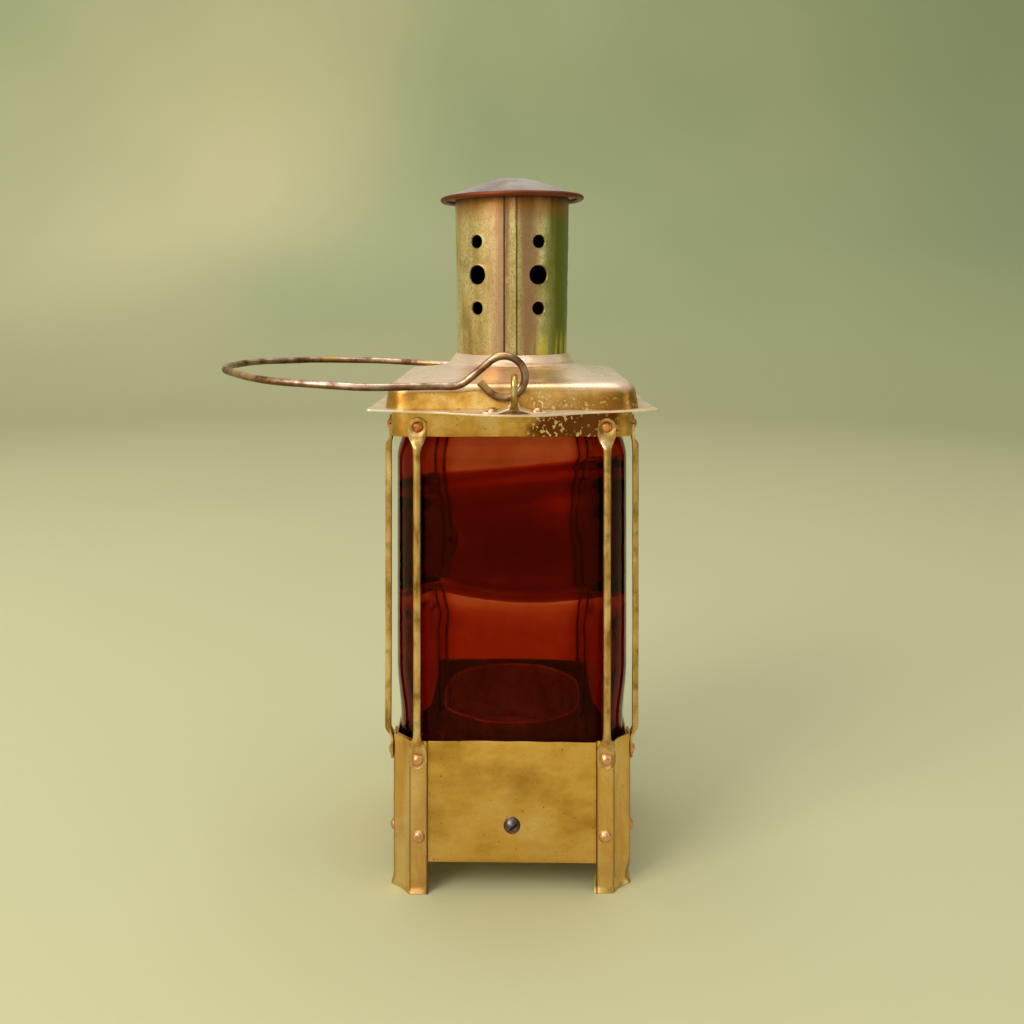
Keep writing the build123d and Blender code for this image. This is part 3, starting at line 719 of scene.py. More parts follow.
def makePost(corner, turn, lean, seed):
    profile = postProfile()
    normals = []
    for index, spot in enumerate(profile):
        before = profile[max(index - 1, 0)]
        after = profile[min(index + 1, len(profile) - 1)]
        along = (after - before).normalized()
        normals.append(Vector((along.y, -along.x)))
    levels = fillBetween(0, postSizes["lip"], 6)[:-1]
    levels += fillBetween(postSizes["lip"], postSizes["footStart"], 7)[:-1]
    levels += fillBetween(postSizes["footStart"], shellHigh.z, 16)
    rows = []
    for z in levels:
        sink = max(0, min(1, (postSizes["footStart"] - z) / (postSizes["footStart"] - postSizes["lip"])))
        shift = lean / sqrt(2) * sink * sink * (3 - 2 * sink)
        out = postSizes["lipOut"] * max(0, 1 - z / postSizes["lip"]) ** 1.3
        row = []
        for spot, normal in zip(profile, normals):
            flat = spot + normal * out + Vector((shift, shift))
            level = z
            if z > shellHigh.z - 1 * mm:
                level += postSizes["edgeWave"] * wobble((flat.x, flat.y, seed), 5 * mm, seed)
            if z < 0.1 * mm:
                level += postSizes["edgeWave"] * abs(wobble((flat.x, flat.y, seed), 6 * mm, seed + 3))
            row.append(Vector((flat.x, flat.y, level)))
        rows.append(row)
    name = "cornerPost_" + corner
    mesh = meshFromRows(name, rows, aroundClosed=False)
    mesh.transform(Matrix.Rotation(turn, 4, "Z"))
    post = thicken(newObject(name, mesh, postBrass), sheetSizes["post"])
    for vert in post.data.vertices:
        vert.co.z = max(vert.co.z, 0)
    return post


handOver(makeShell(), "lantern", "base_brass", "base_shell")
cornerOrder = ("front_left", "front_right", "back_right", "back_left")
for place, corner in enumerate(cornerOrder):
    post = makePost(corner, place * pi / 2, footLean[corner], place + 4)
    handOver(post, "lantern", "base_brass", "corner_post_" + corner)
print("base made")


# guard rods

bandLow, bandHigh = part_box("upper_band")
rodSizes = {
    "x": 35.5 * mm, "half": 1.55 * mm, "back": 46.6 * mm, "front": 48.9 * mm,
    "spoon": 3.45 * mm, "spoonSheet": 1.1 * mm, "dish": 0.55 * mm,
    "lowerRivet": 50.3 * mm, "upperRivet": 175.7 * mm, "lowerNeck": 61 * mm, "upperNeck": 165.5 * mm,
}


def makeRodPattern():
    # half-round bar with its ends hammered into dished spoons; it stands in front of the front face at x = 0
    s = rodSizes
    low = s["lowerRivet"] - s["spoon"]
    high = s["upperRivet"] + s["spoon"]
    levels = [low + s["spoon"] * (1 - cos(pi / 2 * step / 8)) for step in range(9)]
    levels += fillBetween(s["lowerRivet"], s["lowerNeck"] + 2 * mm, 16)[1:]
    levels += fillBetween(s["lowerNeck"] + 2 * mm, s["upperNeck"] - 2 * mm, 22)[1:]
    levels += fillBetween(s["upperNeck"] - 2 * mm, s["upperRivet"], 16)[1:]
    levels += [high - s["spoon"] * (1 - sin(pi / 2 * (1 - step / 8))) for step in range(1, 9)]
    levels[-1] = high
    across = 14
    rows = []
    for z in levels:
        atFoot = 1 - ease(z, s["lowerRivet"] + 2.5 * mm, s["lowerNeck"])
        atHead = ease(z, s["upperNeck"], s["upperRivet"] - 2.5 * mm)
        rivetZ = s["lowerRivet"] if atFoot > atHead else s["upperRivet"]
        spoonness = max(atFoot, atHead)
        half = s["half"] + (s["spoon"] - s["half"]) * spoonness ** 1.4
        beyond = (s["lowerRivet"] - z) if atFoot > atHead else (z - s["upperRivet"])
        if beyond > 0:
            half = sqrt(max(s["spoon"] ** 2 - beyond ** 2, (0.25 * mm) ** 2))
        seat = faceOut if atFoot > atHead else bandHigh.x
        back = s["back"] + (seat - s["back"]) * ease(spoonness, 0.15, 0.85)
        front = s["front"] + (seat + s["spoonSheet"] - s["front"]) * ease(spoonness, 0.15, 0.8)
        side = (front - back) * (0.42 + 0.38 * spoonness)
        row = []
        for step in range(across + 1):
            u = -1 + 2 * step / across
            crown = (front - back - side) * sqrt(max(0, 1 - u * u))
            away = hypot(u * half, z - rivetZ)
            dish = s["dish"] * spoonness * max(0, 1 - (away / (s["spoon"] * 0.95)) ** 4)
            row.append(Vector((half * u, -(back + side + crown - dish), z)))
        row.append(Vector((half, -back, z)))
        row.append(Vector((0, -back, z)))
        row.append(Vector((-half, -back, z)))
        rows.append(row)
    mesh = meshFromRows("rodPattern", rows)
    return newObject("rodPattern", cleaned(mesh, fillHoles=True))


rodPattern = makeRodPattern()
rodPlaces = []
for quarter in range(4):
    for side in (-1, 1):
        spot = Matrix.Rotation(quarter * pi / 2, 3, "Z") @ Vector((side * rodSizes["x"], 0, 0))
        rodPlaces.append((spot, (0, 0, quarter * pi / 2)))
rods = runTree(pointsPiece("guardRods", rodPlaces), patternTree, {
    "Pattern": rodPattern, "Bend": 0.5 * mm, "Bend Length": 45 * mm, "Material": rodBrass})
handOver(rods, "lantern", "rod_brass", *[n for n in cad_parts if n.startswith("guard_rod_")])
bpy.data.objects.remove(rodPattern)
print("guard rods made")


# rivets and screws

rivetSizes = {"radius": 2.35 * mm, "rise": 1.6 * mm, "strapRadius": 2.1 * mm, "strapY": 56.1 * mm,
              "strapDrop": 2.1 * mm, "postX": 35.1 * mm}


def domeProfile(radius, rise, flat=0.12):
    # a set rivet's head: rounded dome, its crown slightly flattened by the set
    sphere = (radius * radius + rise * rise) / (2 * rise)
    spread = atan2(radius, sphere - rise)
    profile = [(0, -0.3 * mm), (radius * 0.9, -0.3 * mm), (radius, 0.0)]
    for step in range(1, 9):
        turn = spread * (1 - step / 8)
        z = sphere * cos(turn) - (sphere - rise)
        profile.append((sphere * sin(turn) if step < 8 else 0, min(z, rise * (1 - flat)) if step > 5 else z))
    return profile


def makeRivetPattern(name, radius, rise):
    return newObject(name, revolved(name, domeProfile(radius, rise), 24))


def faceTurn(quarter):
    # the turn that points a rivet's head out of one of the four sides, the front first
    outward = Matrix.Rotation(quarter * pi / 2, 3, "Z") @ Vector((0, -1, 0))
    return outward.to_track_quat("Z", "Y").to_euler()


def sidePlaces(x, z, face, seed):
    places = []
    for quarter in range(4):
        for side in (-1, 1):
            lift = z + 0.5 * mm * wobble((quarter, side, seed), 0.9, seed)
            spot = Matrix.Rotation(quarter * pi / 2, 3, "Z") @ Vector((side * x, -face, lift))
            places.append((spot, tuple(faceTurn(quarter))))
    return places


rivetPattern = makeRivetPattern("rivetPattern", rivetSizes["radius"], rivetSizes["rise"])
strapPattern = makeRivetPattern("strapRivetPattern", rivetSizes["strapRadius"], rivetSizes["rise"])
postRivetZ = (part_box("post_rivets")[0].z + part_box("post_rivets")[1].z) / 2
dishFloor = rodSizes["spoonSheet"] - rodSizes["dish"]
rivetGroups = {
    "post_rivets": sidePlaces(rivetSizes["postX"], postRivetZ, faceOut, 1),
    "guard_rivets_lower": sidePlaces(rodSizes["x"], rodSizes["lowerRivet"], faceOut + dishFloor, 0),
    "guard_rivets_upper": sidePlaces(rodSizes["x"], rodSizes["upperRivet"], bandHigh.x + dishFloor, 0),
}
for seed, (node, places) in enumerate(rivetGroups.items()):
    rivets = runTree(pointsPiece(node + "Heads", places), patternTree, {
        "Pattern": rivetPattern, "Spin": pi, "Size Spread": 0.05, "Bend": 0.25 * mm, "Bend Length": 1.5 * mm,
        "Seed": seed + 3, "Material": rivetCopper})
    handOver(rivets, "lantern", "copper_rivet", node)

for side, node in ((-1, "strap_rivets_front"), (1, "strap_rivets_back")):
    low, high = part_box(node)
    droop = radians(4.0)
    middleX = (low.x + high.x) / 2
    reachX = (high.x - low.x) / 2 - rivetSizes["strapRadius"]
    middleY = side * rivetSizes["strapY"]
    tilt = Vector((0, side * sin(droop), cos(droop))).to_track_quat("Z", "Y").to_euler()
    level = high.z - rivetSizes["strapDrop"]
    places = [(Vector((middleX + end * reachX, middleY, level)), tuple(tilt)) for end in (-1, 1)]
    rivets = runTree(pointsPiece(node + "Heads", places), patternTree, {
        "Pattern": strapPattern, "Spin": pi, "Size Spread": 0.04, "Bend": 0.2 * mm, "Bend Length": 1.5 * mm,
        "Seed": 9, "Material": rivetCopper})
    handOver(rivets, "lantern", "copper_rivet", node)
bpy.data.objects.remove(rivetPattern)
bpy.data.objects.remove(strapPattern)

screwSizes = {"radius": 3.2 * mm, "rise": 2.1 * mm, "slotWidth": 0.95 * mm, "slotDepth": 1.4 * mm,
              "slotLength": 10 * mm, "edge": 0.08 * mm}


def makeScrew(name, node, quarter, slotAngle):
    # round-head slotted screw
    low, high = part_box(node)
    outward = -1 if quarter == 0 else 1
    face = outward * shellHigh.y
    head = newObject(name, revolved(name, domeProfile(screwSizes["radius"], screwSizes["rise"], 0.03), 40),
                     darkSteel)
    cutter = bmesh.new()
    slotPlace = Matrix.Rotation(slotAngle, 4, "Z") @ Matrix.Translation((0, 0, screwSizes["rise"]))
    slotSize = Matrix.Diagonal((screwSizes["slotLength"], screwSizes["slotWidth"],
                                2 * screwSizes["slotDepth"], 1))
    bmesh.ops.create_cube(cutter, size=1.0, matrix=slotPlace @ slotSize)
    slotMesh = bpy.data.meshes.new(name + "Slot")
    cutter.to_mesh(slotMesh)
    cutter.free()
    slot = newObject(name + "Slot", slotMesh)
    cut = head.modifiers.new("slot", "BOOLEAN")
    cut.operation = "DIFFERENCE"
    cut.object = slot
    cut.solver = "EXACT"
    easeEdges(head, screwSizes["edge"])
    applied(head)
    bpy.data.objects.remove(slot)
    place = Matrix.Translation((0, face, (low.z + high.z) / 2)) @ Matrix.Rotation(
        quarter * pi / 2, 4, "Z") @ Matrix.Rotation(pi / 2, 4, "X")
    head.data.transform(place)
    return head


for end, quarter, slotTurn in (("front", 0, 33), ("back", 2, -20)):
    node = "tray_screw_" + end
    screw = makeScrew("trayScrew" + end.capitalize(), node, quarter, radians(slotTurn))
    handOver(screw, "lantern", "dark_steel", node)
print("fasteners made")


# upper band, brim and hood

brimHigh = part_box("brim_plate")[1]
hoodLow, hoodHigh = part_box("roof_hood")
roofSizes = {
    "bandCorner": 7.0 * mm, "bandWave": 0.2 * mm,
    "brimCorner": 1.6 * mm, "brimHole": 34 * mm, "cornerLift": 0.9 * mm, "brimWave": 0.22 * mm,
    "bulgeHalf": 28 * mm, "hinge": 52.4 * mm, "droop": radians(4.0),
    "hoodWaist": 47.6 * mm, "waistZ": 188.0 * mm, "shoulder": 5.0 * mm, "hoodCorner": 9.0 * mm,
    "collar": 27 * mm, "collarZ": 196.6 * mm, "seat": 23.3 * mm, "seatZ": 201 * mm, "dent": 0.35 * mm,
    "stand": 21.9 * mm, "ringMiddle": 30 * mm, "ringReach": 7 * mm, "ringGap": 2.6 * mm,
    "ringRise": 0.16 * mm, "collarGroove": 0.28 * mm, "slopeWave": 0.25 * mm,
}


def makeUpperBand():
    rows = []
    for z in fillBetween(bandLow.z, bandHigh.z, 10):
        row = roundedRow(bandHigh.x, roofSizes["bandCorner"], z)
        for spot in row:
            dip = abs(wobble(spot, 14 * mm, 21)) * roofSizes["bandWave"]
            spot *= 1 - dip / bandHigh.x
            spot.z = z + (roofSizes["bandWave"] * abs(wobble(spot, 8 * mm, 22)) if z == bandLow.z else 0)
        rows.append(row)
    band = newObject("upperBandSheet", meshFromRows("upperBandSheet", rows), hoodBrass)
    return thicken(band, sheetSizes["sheet"])


def brimReach(angle):
    # the brim's outline: a square whose front and back edges bulge out to carry the bail
    half = brimHigh.x - 0.1 * mm
    reach = roundedReach(half, roofSizes["brimCorner"], angle)
    x, y = reach * cos(angle), reach * sin(angle)
    if abs(x) < roofSizes["bulgeHalf"] and abs(y) > abs(x):
        rise = brimHigh.y - half
        bulge = half + rise * cos(pi / 2 * x / roofSizes["bulgeHalf"]) ** 1.25
        reach *= bulge / half
    return reach


def drooped(x, y):
    # how far the bulge hangs below the flat brim
    beyond = max(0, abs(y) - roofSizes["hinge"])
    spread = max(0, 1 - (x / roofSizes["bulgeHalf"]) ** 2) ** 0.5
    return beyond * sin(roofSizes["droop"]) * spread


def makeBrim():
    top = hoodLow.z
    rows = []
    steps = 26
    for step in range(steps + 1):
        t = (step / steps) ** 0.7
        row = []
        for angle in squareAngles:
            reach = roofSizes["brimHole"] + (brimReach(angle) - roofSizes["brimHole"]) * t
            x, y = reach * cos(angle), reach * sin(angle)
            outside = ease(reach, 60 * mm, 75 * mm)
            away = ease(max(abs(x), abs(y)), 49.5 * mm, 54 * mm)
            z = top - drooped(x, y) + roofSizes["cornerLift"] * outside
            z += roofSizes["brimWave"] * away * wobble((x, y, 0), 22 * mm, 23)
            row.append(Vector((x, y, z)))
        rows.append(row)
    brim = newObject("brimSheet", meshFromRows("brimSheet", rows[::-1]), brimBrass)
    return thicken(brim, sheetSizes["sheet"], 0.18 * mm)


def makeHood():
    s = roofSizes
    sections = []
    for step in range(9):
        t = step / 8
        half = hoodHigh.x + (s["hoodWaist"] - hoodHigh.x) * t
        sections.append((half, s["hoodCorner"], hoodLow.z + (s["waistZ"] - hoodLow.z) * t))
    for step in range(1, 9):
        turn = pi / 2 * step / 8
        half = s["hoodWaist"] - s["shoulder"] * (1 - cos(turn))
        sections.append((half, s["hoodCorner"], s["waistZ"] + 0.9 * s["shoulder"] * sin(turn)))
    panelHalf, panelZ = s["hoodWaist"] - s["shoulder"], s["waistZ"] + 0.9 * s["shoulder"]
    for step in range(1, 17):
        t = step / 16
        half = panelHalf + (s["collar"] - panelHalf) * t
        corner = s["hoodCorner"] + (s["collar"] - 0.1 * mm - s["hoodCorner"]) * t ** 1.6
        sections.append((half, min(corner, half - 0.05 * mm), panelZ + (s["collarZ"] - panelZ) * t ** 1.5))
    for step in range(1, 15):
        t = step / 14
        half = s["collar"] + (s["seat"] - s["collar"]) * t ** 0.9
        groove = s["collarGroove"] * max(0, sin(t * 3 * pi)) * (1 - t)
        sections.append((half - groove, half - groove - 0.05 * mm,
                         s["collarZ"] + (s["seatZ"] - s["collarZ"]) * t))
    rows = []
    for half, corner, z in sections:
        row = roundedRow(half, corner, z)
        for spot in row:
            ripple = ease(half, s["seat"] + 1 * mm, s["collar"]) * (1 - ease(half, 38 * mm, s["hoodWaist"]))
            away = hypot(spot.x, spot.y)
            fade = max(0, 1 - abs(away - s["ringMiddle"]) / s["ringReach"])
            ring = sin((away - s["collar"]) / s["ringGap"] * 2 * pi) * fade
            low = z - abs(wobble((spot.x, spot.y, z), 17 * mm, 24)) * s["dent"] * ripple
            face = ease(half, 44 * mm, 46 * mm)
            inward = 1 - abs(wobble(spot, 13 * mm, 25)) * s["slopeWave"] * face / max(half, 1 * mm)
            spot.x *= inward
            spot.y *= inward
            spot.z = low + s["ringRise"] * ring * ripple
        rows.append(row)
    for z in (s["seatZ"] + 0.05 * mm, s["seatZ"] + 0.6 * mm, hoodHigh.z):
        rows.append([Vector((s["stand"] * cos(a), s["stand"] * sin(a), z)) for a in squareAngles])
    hood = newObject("hoodSheet", meshFromRows("hoodSheet", rows), hoodBrass)
    return thicken(hood, sheetSizes["sheet"] * 0.9)


handOver(makeUpperBand(), "lantern", "roof_brass", "upper_band")
handOver(makeBrim(), "lantern", "roof_brass", "brim_plate")
handOver(makeHood(), "lantern", "roof_brass", "roof_hood")
print("roof made")


# chimney

tubeLow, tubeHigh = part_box("chimney_tube")
capLow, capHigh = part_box("chimney_cap")
chimneySizes = {
    "foot": 22.9 * mm, "top": 23.9 * mm, "sheet": 0.8 * mm, "ventTurns": (-37.5, 27.5, 89.5, 172.0, 246.0),
    "smallVent": 5.7 * mm, "largeVent": 8.3 * mm, "middleRow": 233.2 * mm, "rowGap": 13.4 * mm,
    "seamWidth": 4.8 * mm, "seamRise": 0.8 * mm, "seamTurn": radians(-1.5),
    "edge": 0.14 * mm, "capTilt": radians(1.2), "bead": 1.1 * mm, "domeRadius": 19.5 * mm,
    "flangeRise": 3.6 * mm, "spigotWall": 0.7 * mm, "spigotShort": 1.1 * mm,
    "outOfRound": 0.12 * mm, "ventLip": 0.16 * mm, "seamWander": 0.25 * mm, "seamDent": 0.12 * mm,
    "capDent": 0.15 * mm, "capWave": 0.25 * mm, "capInset": 0.3 * mm,
}


def tubeRadius(z):
    s = chimneySizes
    return s["foot"] + (s["top"] - s["foot"]) * (z - tubeLow.z) / (tubeHigh.z - tubeLow.z)


def onTube(turn, z, lift=0.0):
    # a little out of round, as a rolled tube is
    radius = tubeRadius(z) + lift - chimneySizes["outOfRound"] * (1 + sin(2 * turn - 1.6)) * 0.5
    return Vector((radius * cos(turn), radius * sin(turn), z))


def makeTube():
    # flat cells round each vent, wrapped onto the taper
    s = chimneySizes
    turns = [radians(turn - 90) for turn in s["ventTurns"]]
    limits = [(one + two) / 2 for one, two in zip(turns, turns[1:] + [turns[0] + 2 * pi])]
    limits = [limits[-1] - 2 * pi] + limits
    work = bmesh.new()
    tall, wide, rings = 10, 18, 8

    def addGrid(left, right, levels):
        across = fillBetween(left, right, wide)
        points = [[work.verts.new(onTube(turn, z)) for turn in across] for z in levels]
        for lower, upper in zip(points, points[1:]):
            for c in range(wide):
                work.faces.new((lower[c], lower[c + 1], upper[c + 1], upper[c]))

    def addVent(left, turn, right, low, high, diameter):
        across = fillBetween(left, right, wide)
        upwards = fillBetween(low, high, tall)
        edge = [(t, low) for t in across[:-1]] + [(right, z) for z in upwards[:-1]]
        edge += [(t, high) for t in across[:0:-1]] + [(left, z) for z in upwards[:0:-1]]
        z = (low + high) / 2
        radius = tubeRadius(z)
        loops = []
        for ring in range(rings + 1):
            t = (ring / rings) ** 1.4
            lip = s["ventLip"] * max(0, 1 - ring / 2.5) ** 1.5
            loop = []
            for outTurn, outZ in edge:
                heading = atan2((outZ - z) / (high - low) * 1.25, (outTurn - turn) / (right - left) * 1.6)
                hole = (turn + diameter / 2 / radius * cos(heading), z + diameter / 2 * sin(heading))
                place = (hole[0] + (outTurn - hole[0]) * t, hole[1] + (outZ - hole[1]) * t)
                loop.append(work.verts.new(onTube(*place, lip)))
            loops.append(loop)
        for inner, outer in zip(loops, loops[1:]):
            for c in range(len(edge)):
                d = (c + 1) % len(edge)
                work.faces.new((inner[d], inner[c], outer[c], outer[d]))

    edges = [s["middleRow"] + s["rowGap"] * k for k in (-1.5, -0.5, 0.5, 1.5)]
    for left, turn, right in zip(limits, turns, limits[1:]):
        addGrid(left, right, fillBetween(tubeLow.z, edges[0], 8))
        addGrid(left, right, fillBetween(edges[3], tubeHigh.z, 8))
        for low, high, diameter in zip(edges, edges[1:], (s["smallVent"], s["largeVent"], s["smallVent"])):
            addVent(left, turn, right, low, high, diameter)
    bmesh.ops.remove_doubles(work, verts=work.verts, dist=0.005 * mm)
    bmesh.ops.recalc_face_normals(work, faces=work.faces)
    mesh = bpy.data.meshes.new("chimneyTubeSheet")
    work.to_mesh(mesh)
    work.free()
    tube = newObject("chimneyTubeSheet", mesh, tubeBrass)
    tube.data.materials.append(sootyBrass)
    wall = tube.modifiers.new("sheet", "SOLIDIFY")
    wall.thickness = s["sheet"]
    wall.offset = -1
    wall.use_even_offset = True
    wall.material_offset = 1
    easeEdges(tube, s["edge"])
    return applied(tube)


def makeSeam():
    # the tube's two edges folded over each other and hammered flat: a raised strip with a groove at its left
    s = chimneySizes
    middle = -pi / 2 + s["seamTurn"]
    rows = []
    for z in fillBetween(tubeLow.z + 0.05 * mm, tubeHigh.z, 70):
        radius = tubeRadius(z)
        half = s["seamWidth"] / 2 / radius
        wander = s["seamWander"] * wobble((0, 0, z), 13 * mm, 31) / radius
        outline = []
        profile = [(-1.0, -0.5), (-1.0, 0.35), (-0.92, 0.72), (-0.8, 0.85), (-0.4, 0.62), (0.0, 0.5),
                   (0.5, 0.52), (0.84, 0.62), (0.95, 0.42), (1.0, 0.1), (1.0, -0.5), (0.0, -0.6)]
        for u, rise in profile:
            dent = s["seamDent"] * wobble((u * 3 * mm, 0, z), 4 * mm, 32)
            lift = s["seamRise"] * rise + (dent if rise > 0 else 0)
            outline.append(onTube(middle + wander + u * half, z, min(lift, s["seamRise"] * 0.95)))
        rows.append(outline)
    mesh = meshFromRows("chimneySeam", rows)
    return applied(newObject("chimneySeam", cleaned(mesh, fillHoles=True), tubeBrass), 30)


def makeCap():
    # shallow dome on a flange, its edge rolled under into a bead
    s = chimneySizes
    rimRadius = capHigh.x - s["bead"]
    rimZ = capLow.z + s["bead"]
    rise = capHigh.z - rimZ - 0.05 * mm
    top = []
    for step in range(25):
        radius = (rimRadius - 0.6 * mm) * step / 24
        slope = min(1, (rimRadius - radius) / (rimRadius - s["domeRadius"]))
        flange = s["bead"] * 0.8 + s["flangeRise"] * slope
        dome = (rise - flange) * max(0, 1 - (radius / s["domeRadius"]) ** 2) ** 1.25
        top.append((radius, rimZ + flange + dome))
    profile = [(radius, z - s["sheet"]) for radius, z in top[:-1]]
    for step in range(15):
        turn = radians(150) + radians(300) * step / 14
        profile.append((rimRadius + s["bead"] * cos(turn), rimZ + s["bead"] * sin(turn)))
    profile += top[::-1]
    mesh = revolved("capSheet", profile, 128)
    for vert in mesh.vertices:
        away = hypot(vert.co.x, vert.co.y)
        middle = 1 - ease(away, 12 * mm, 20 * mm)
        dent = s["capDent"] * abs(wobble((vert.co.x, vert.co.y, 0), 13 * mm, 33)) * middle
        vert.co.z -= dent + s["capWave"] * abs(wobble((vert.co.x, vert.co.y, 0), 20 * mm, 34))
        shrink = 1 - s["capInset"] / away if away > 10 * mm else 0.97
        vert.co.x *= shrink
        vert.co.y *= shrink
    pivot = Vector((0, 0, (capLow.z + capHigh.z) / 2))
    tilt = Matrix.Rotation(-s["capTilt"], 4, "Y")
    mesh.transform(Matrix.Translation(pivot) @ tilt @ Matrix.Translation(-pivot))
    return applied(newObject("capSheet", cleaned(mesh, merge=0.002 * mm), capPaintedSkyGrey), 60)


def makeSpigot():
    # the ring that holds the cap in the tube, cut a little short so that it stays under the tilted dome
    s = chimneySizes
    low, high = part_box("cap_spigot")
    outer, inner, top = high.x, high.x - s["spigotWall"], high.z - s["spigotShort"]
    profile = [(inner, top), (inner, low.z), (outer, low.z), (outer, top), (inner, top)]
    mesh = cleaned(revolved("capSpigot", profile, 96), merge=0.002 * mm)
    return applied(newObject("capSpigot", mesh, sootyBrass))


handOver(makeTube(), "chimney", "chimney_brass", "chimney_tube")
handOver(makeSeam(), "chimney", "chimney_brass")
handOver(makeCap(), "chimney", "cap_brass", "chimney_cap")
handOver(makeSpigot(), "chimney", "chimney_brass", "cap_spigot")
print("chimney made")


# bail, links and straps

bailSizes = {
    "linkX": 0.8 * mm, "linkY": 56 * mm, "linkFoot": 184.0 * mm, "linkHead": 195.2 * mm, "linkWire": 1.3 * mm,
    "linkInner": 4.4 * mm, "linkCorner": 3.4 * mm,
    "eyeX": -2.9 * mm, "eyeZ": 195.2 * mm, "eyeRadius": 7.7 * mm, "wire": 1.45 * mm,
    "tailStart": 225.0, "tail": 5.0 * mm, "legStart": 130.0, "legBend": 9 * mm, "legDrop": 3.4 * mm,
    "hoopSlope": radians(2.2), "hoopRadius": 61.5 * mm, "hoopCentre": -57 * mm, "splayBend": 40 * mm,
    "frontSag": 0.9 * mm, "kink": 0.3 * mm, "pinch": 0.5 * mm,
}
strapSizes = {
    "sheet": 0.7 * mm, "width": 5.0 * mm, "half": 11.6 * mm, "toe": 5.2 * mm, "tunnel": 1.6 * mm,
    "bend": 0.8 * mm,
}


def arcPoints(centre, radius, start, end, steps):
    return [Vector((centre[0] + radius * cos(start + (end - start) * k / steps),
                    centre[1] + radius * sin(start + (end - start) * k / steps))) for k in range(steps + 1)]


def halfBail(side):
    # from the tail of the eye out to the middle of the hoop
    s = bailSizes
    eye = Vector((s["eyeX"], s["eyeZ"]))
    tailAngle, legAngle = radians(s["tailStart"]), radians(s["legStart"] + 360)
    tailAt = eye + s["eyeRadius"] * Vector((cos(tailAngle), sin(tailAngle)))
    tailWay = Vector((cos(tailAngle - pi / 2), sin(tailAngle - pi / 2)))
    flat = [tailAt + tailWay * s["tail"] * t for t in (1, 0.75, 0.5, 0.25)]
    flat += arcPoints(eye, s["eyeRadius"], tailAngle, legAngle, 48)
    eyeOut = flat[-1]
    heading = radians(s["legStart"] + 90)
    bend = heading - pi + s["hoopSlope"]
    drop = s["legBend"] * (cos(s["hoopSlope"]) - cos(bend - s["hoopSlope"]))
    run = (eyeOut.y - (s["eyeZ"] - s["legDrop"]) - drop) / sin(heading - pi)
    bendIn = eyeOut + run * Vector((cos(heading), sin(heading)))
    flat += [eyeOut.lerp(bendIn, t) for t in (0.33, 0.67)]
    centre = bendIn + s["legBend"] * Vector((cos(heading - pi / 2), sin(heading - pi / 2)))
    flat += arcPoints(centre, s["legBend"], heading + pi / 2, heading + pi / 2 - bend, 12)
    points = [Vector((p.x, side * s["linkY"], p.y)) for p in flat]
    bendOut = flat[-1]

    reach = bendOut.x - s["hoopCentre"]
    arm = s["linkY"] + s["splayBend"]
    splay = atan2(reach, arm) - acos((s["hoopRadius"] + s["splayBend"]) / hypot(reach, arm))
    hoop = []
    for step in range(1, 13):
        turn = splay * step / 12
        hoop.append((s["splayBend"] * sin(turn), s["linkY"] + s["splayBend"] * (1 - cos(turn))))
    touch = (reach - s["hoopRadius"] * sin(splay), s["hoopRadius"] * cos(splay))
    for step in range(1, 8):
        t = step / 8
        hoop.append((hoop[11][0] + (touch[0] - hoop[11][0]) * t, hoop[11][1] + (touch[1] - hoop[11][1]) * t))
    for step in range(49):
        turn = -splay + (pi / 2 + splay) * step / 48
        hoop.append((reach + s["hoopRadius"] * sin(turn), s["hoopRadius"] * cos(turn)))
    for u, y in hoop:
        points.append(Vector((bendOut.x - u * cos(s["hoopSlope"]), side * y,
                              bendOut.y + u * sin(s["hoopSlope"]))))
    return points


def makeBail():
    front, back = halfBail(-1), halfBail(1)
    points = front + back[-2::-1]
    for point in points:
        # small kinks, none near the eyes, where the links bear
        free = min(1, max(0, (-point.x - 18 * mm) / (20 * mm)))
        sag = ease(-point.y, 30 * mm, 55 * mm) * ease(-point.x, 15 * mm, 60 * mm)
        point.z += bailSizes["kink"] * free * wobble(point, 24 * mm, 41) - bailSizes["frontSag"] * sag
        inward = 1 - bailSizes["pinch"] * free * abs(wobble(point, 30 * mm, 42)) / max(abs(point.x), 1 * mm)
        point.x *= inward
        point.y *= inward
    return wirePiece("bailWire", points, False, bailSizes["wire"] * 0.975, wireBrass, 0.04)


def makeLink(side, name):
    s = bailSizes
    centreZ = (s["linkFoot"] + s["linkHead"]) / 2
    halfTall = (s["linkHead"] - s["linkFoot"]) / 2
    halfWide = s["linkInner"] + s["linkWire"]
    corner = s["linkCorner"]
    points = []
    for quarter in range(4):
        cornerY = (halfWide - corner) * (1 if quarter in (0, 3) else -1)
        cornerZ = (halfTall - corner) * (1 if quarter in (0, 1) else -1)
        for p in arcPoints((cornerY, cornerZ), corner, quarter * pi / 2, (quarter + 1) * pi / 2, 10):
            points.append(Vector((s["linkX"], side * s["linkY"] + p.x, centreZ + p.y)))
    return wirePiece(name, points, True, s["linkWire"] * 0.97, linkBrass, 0.05)


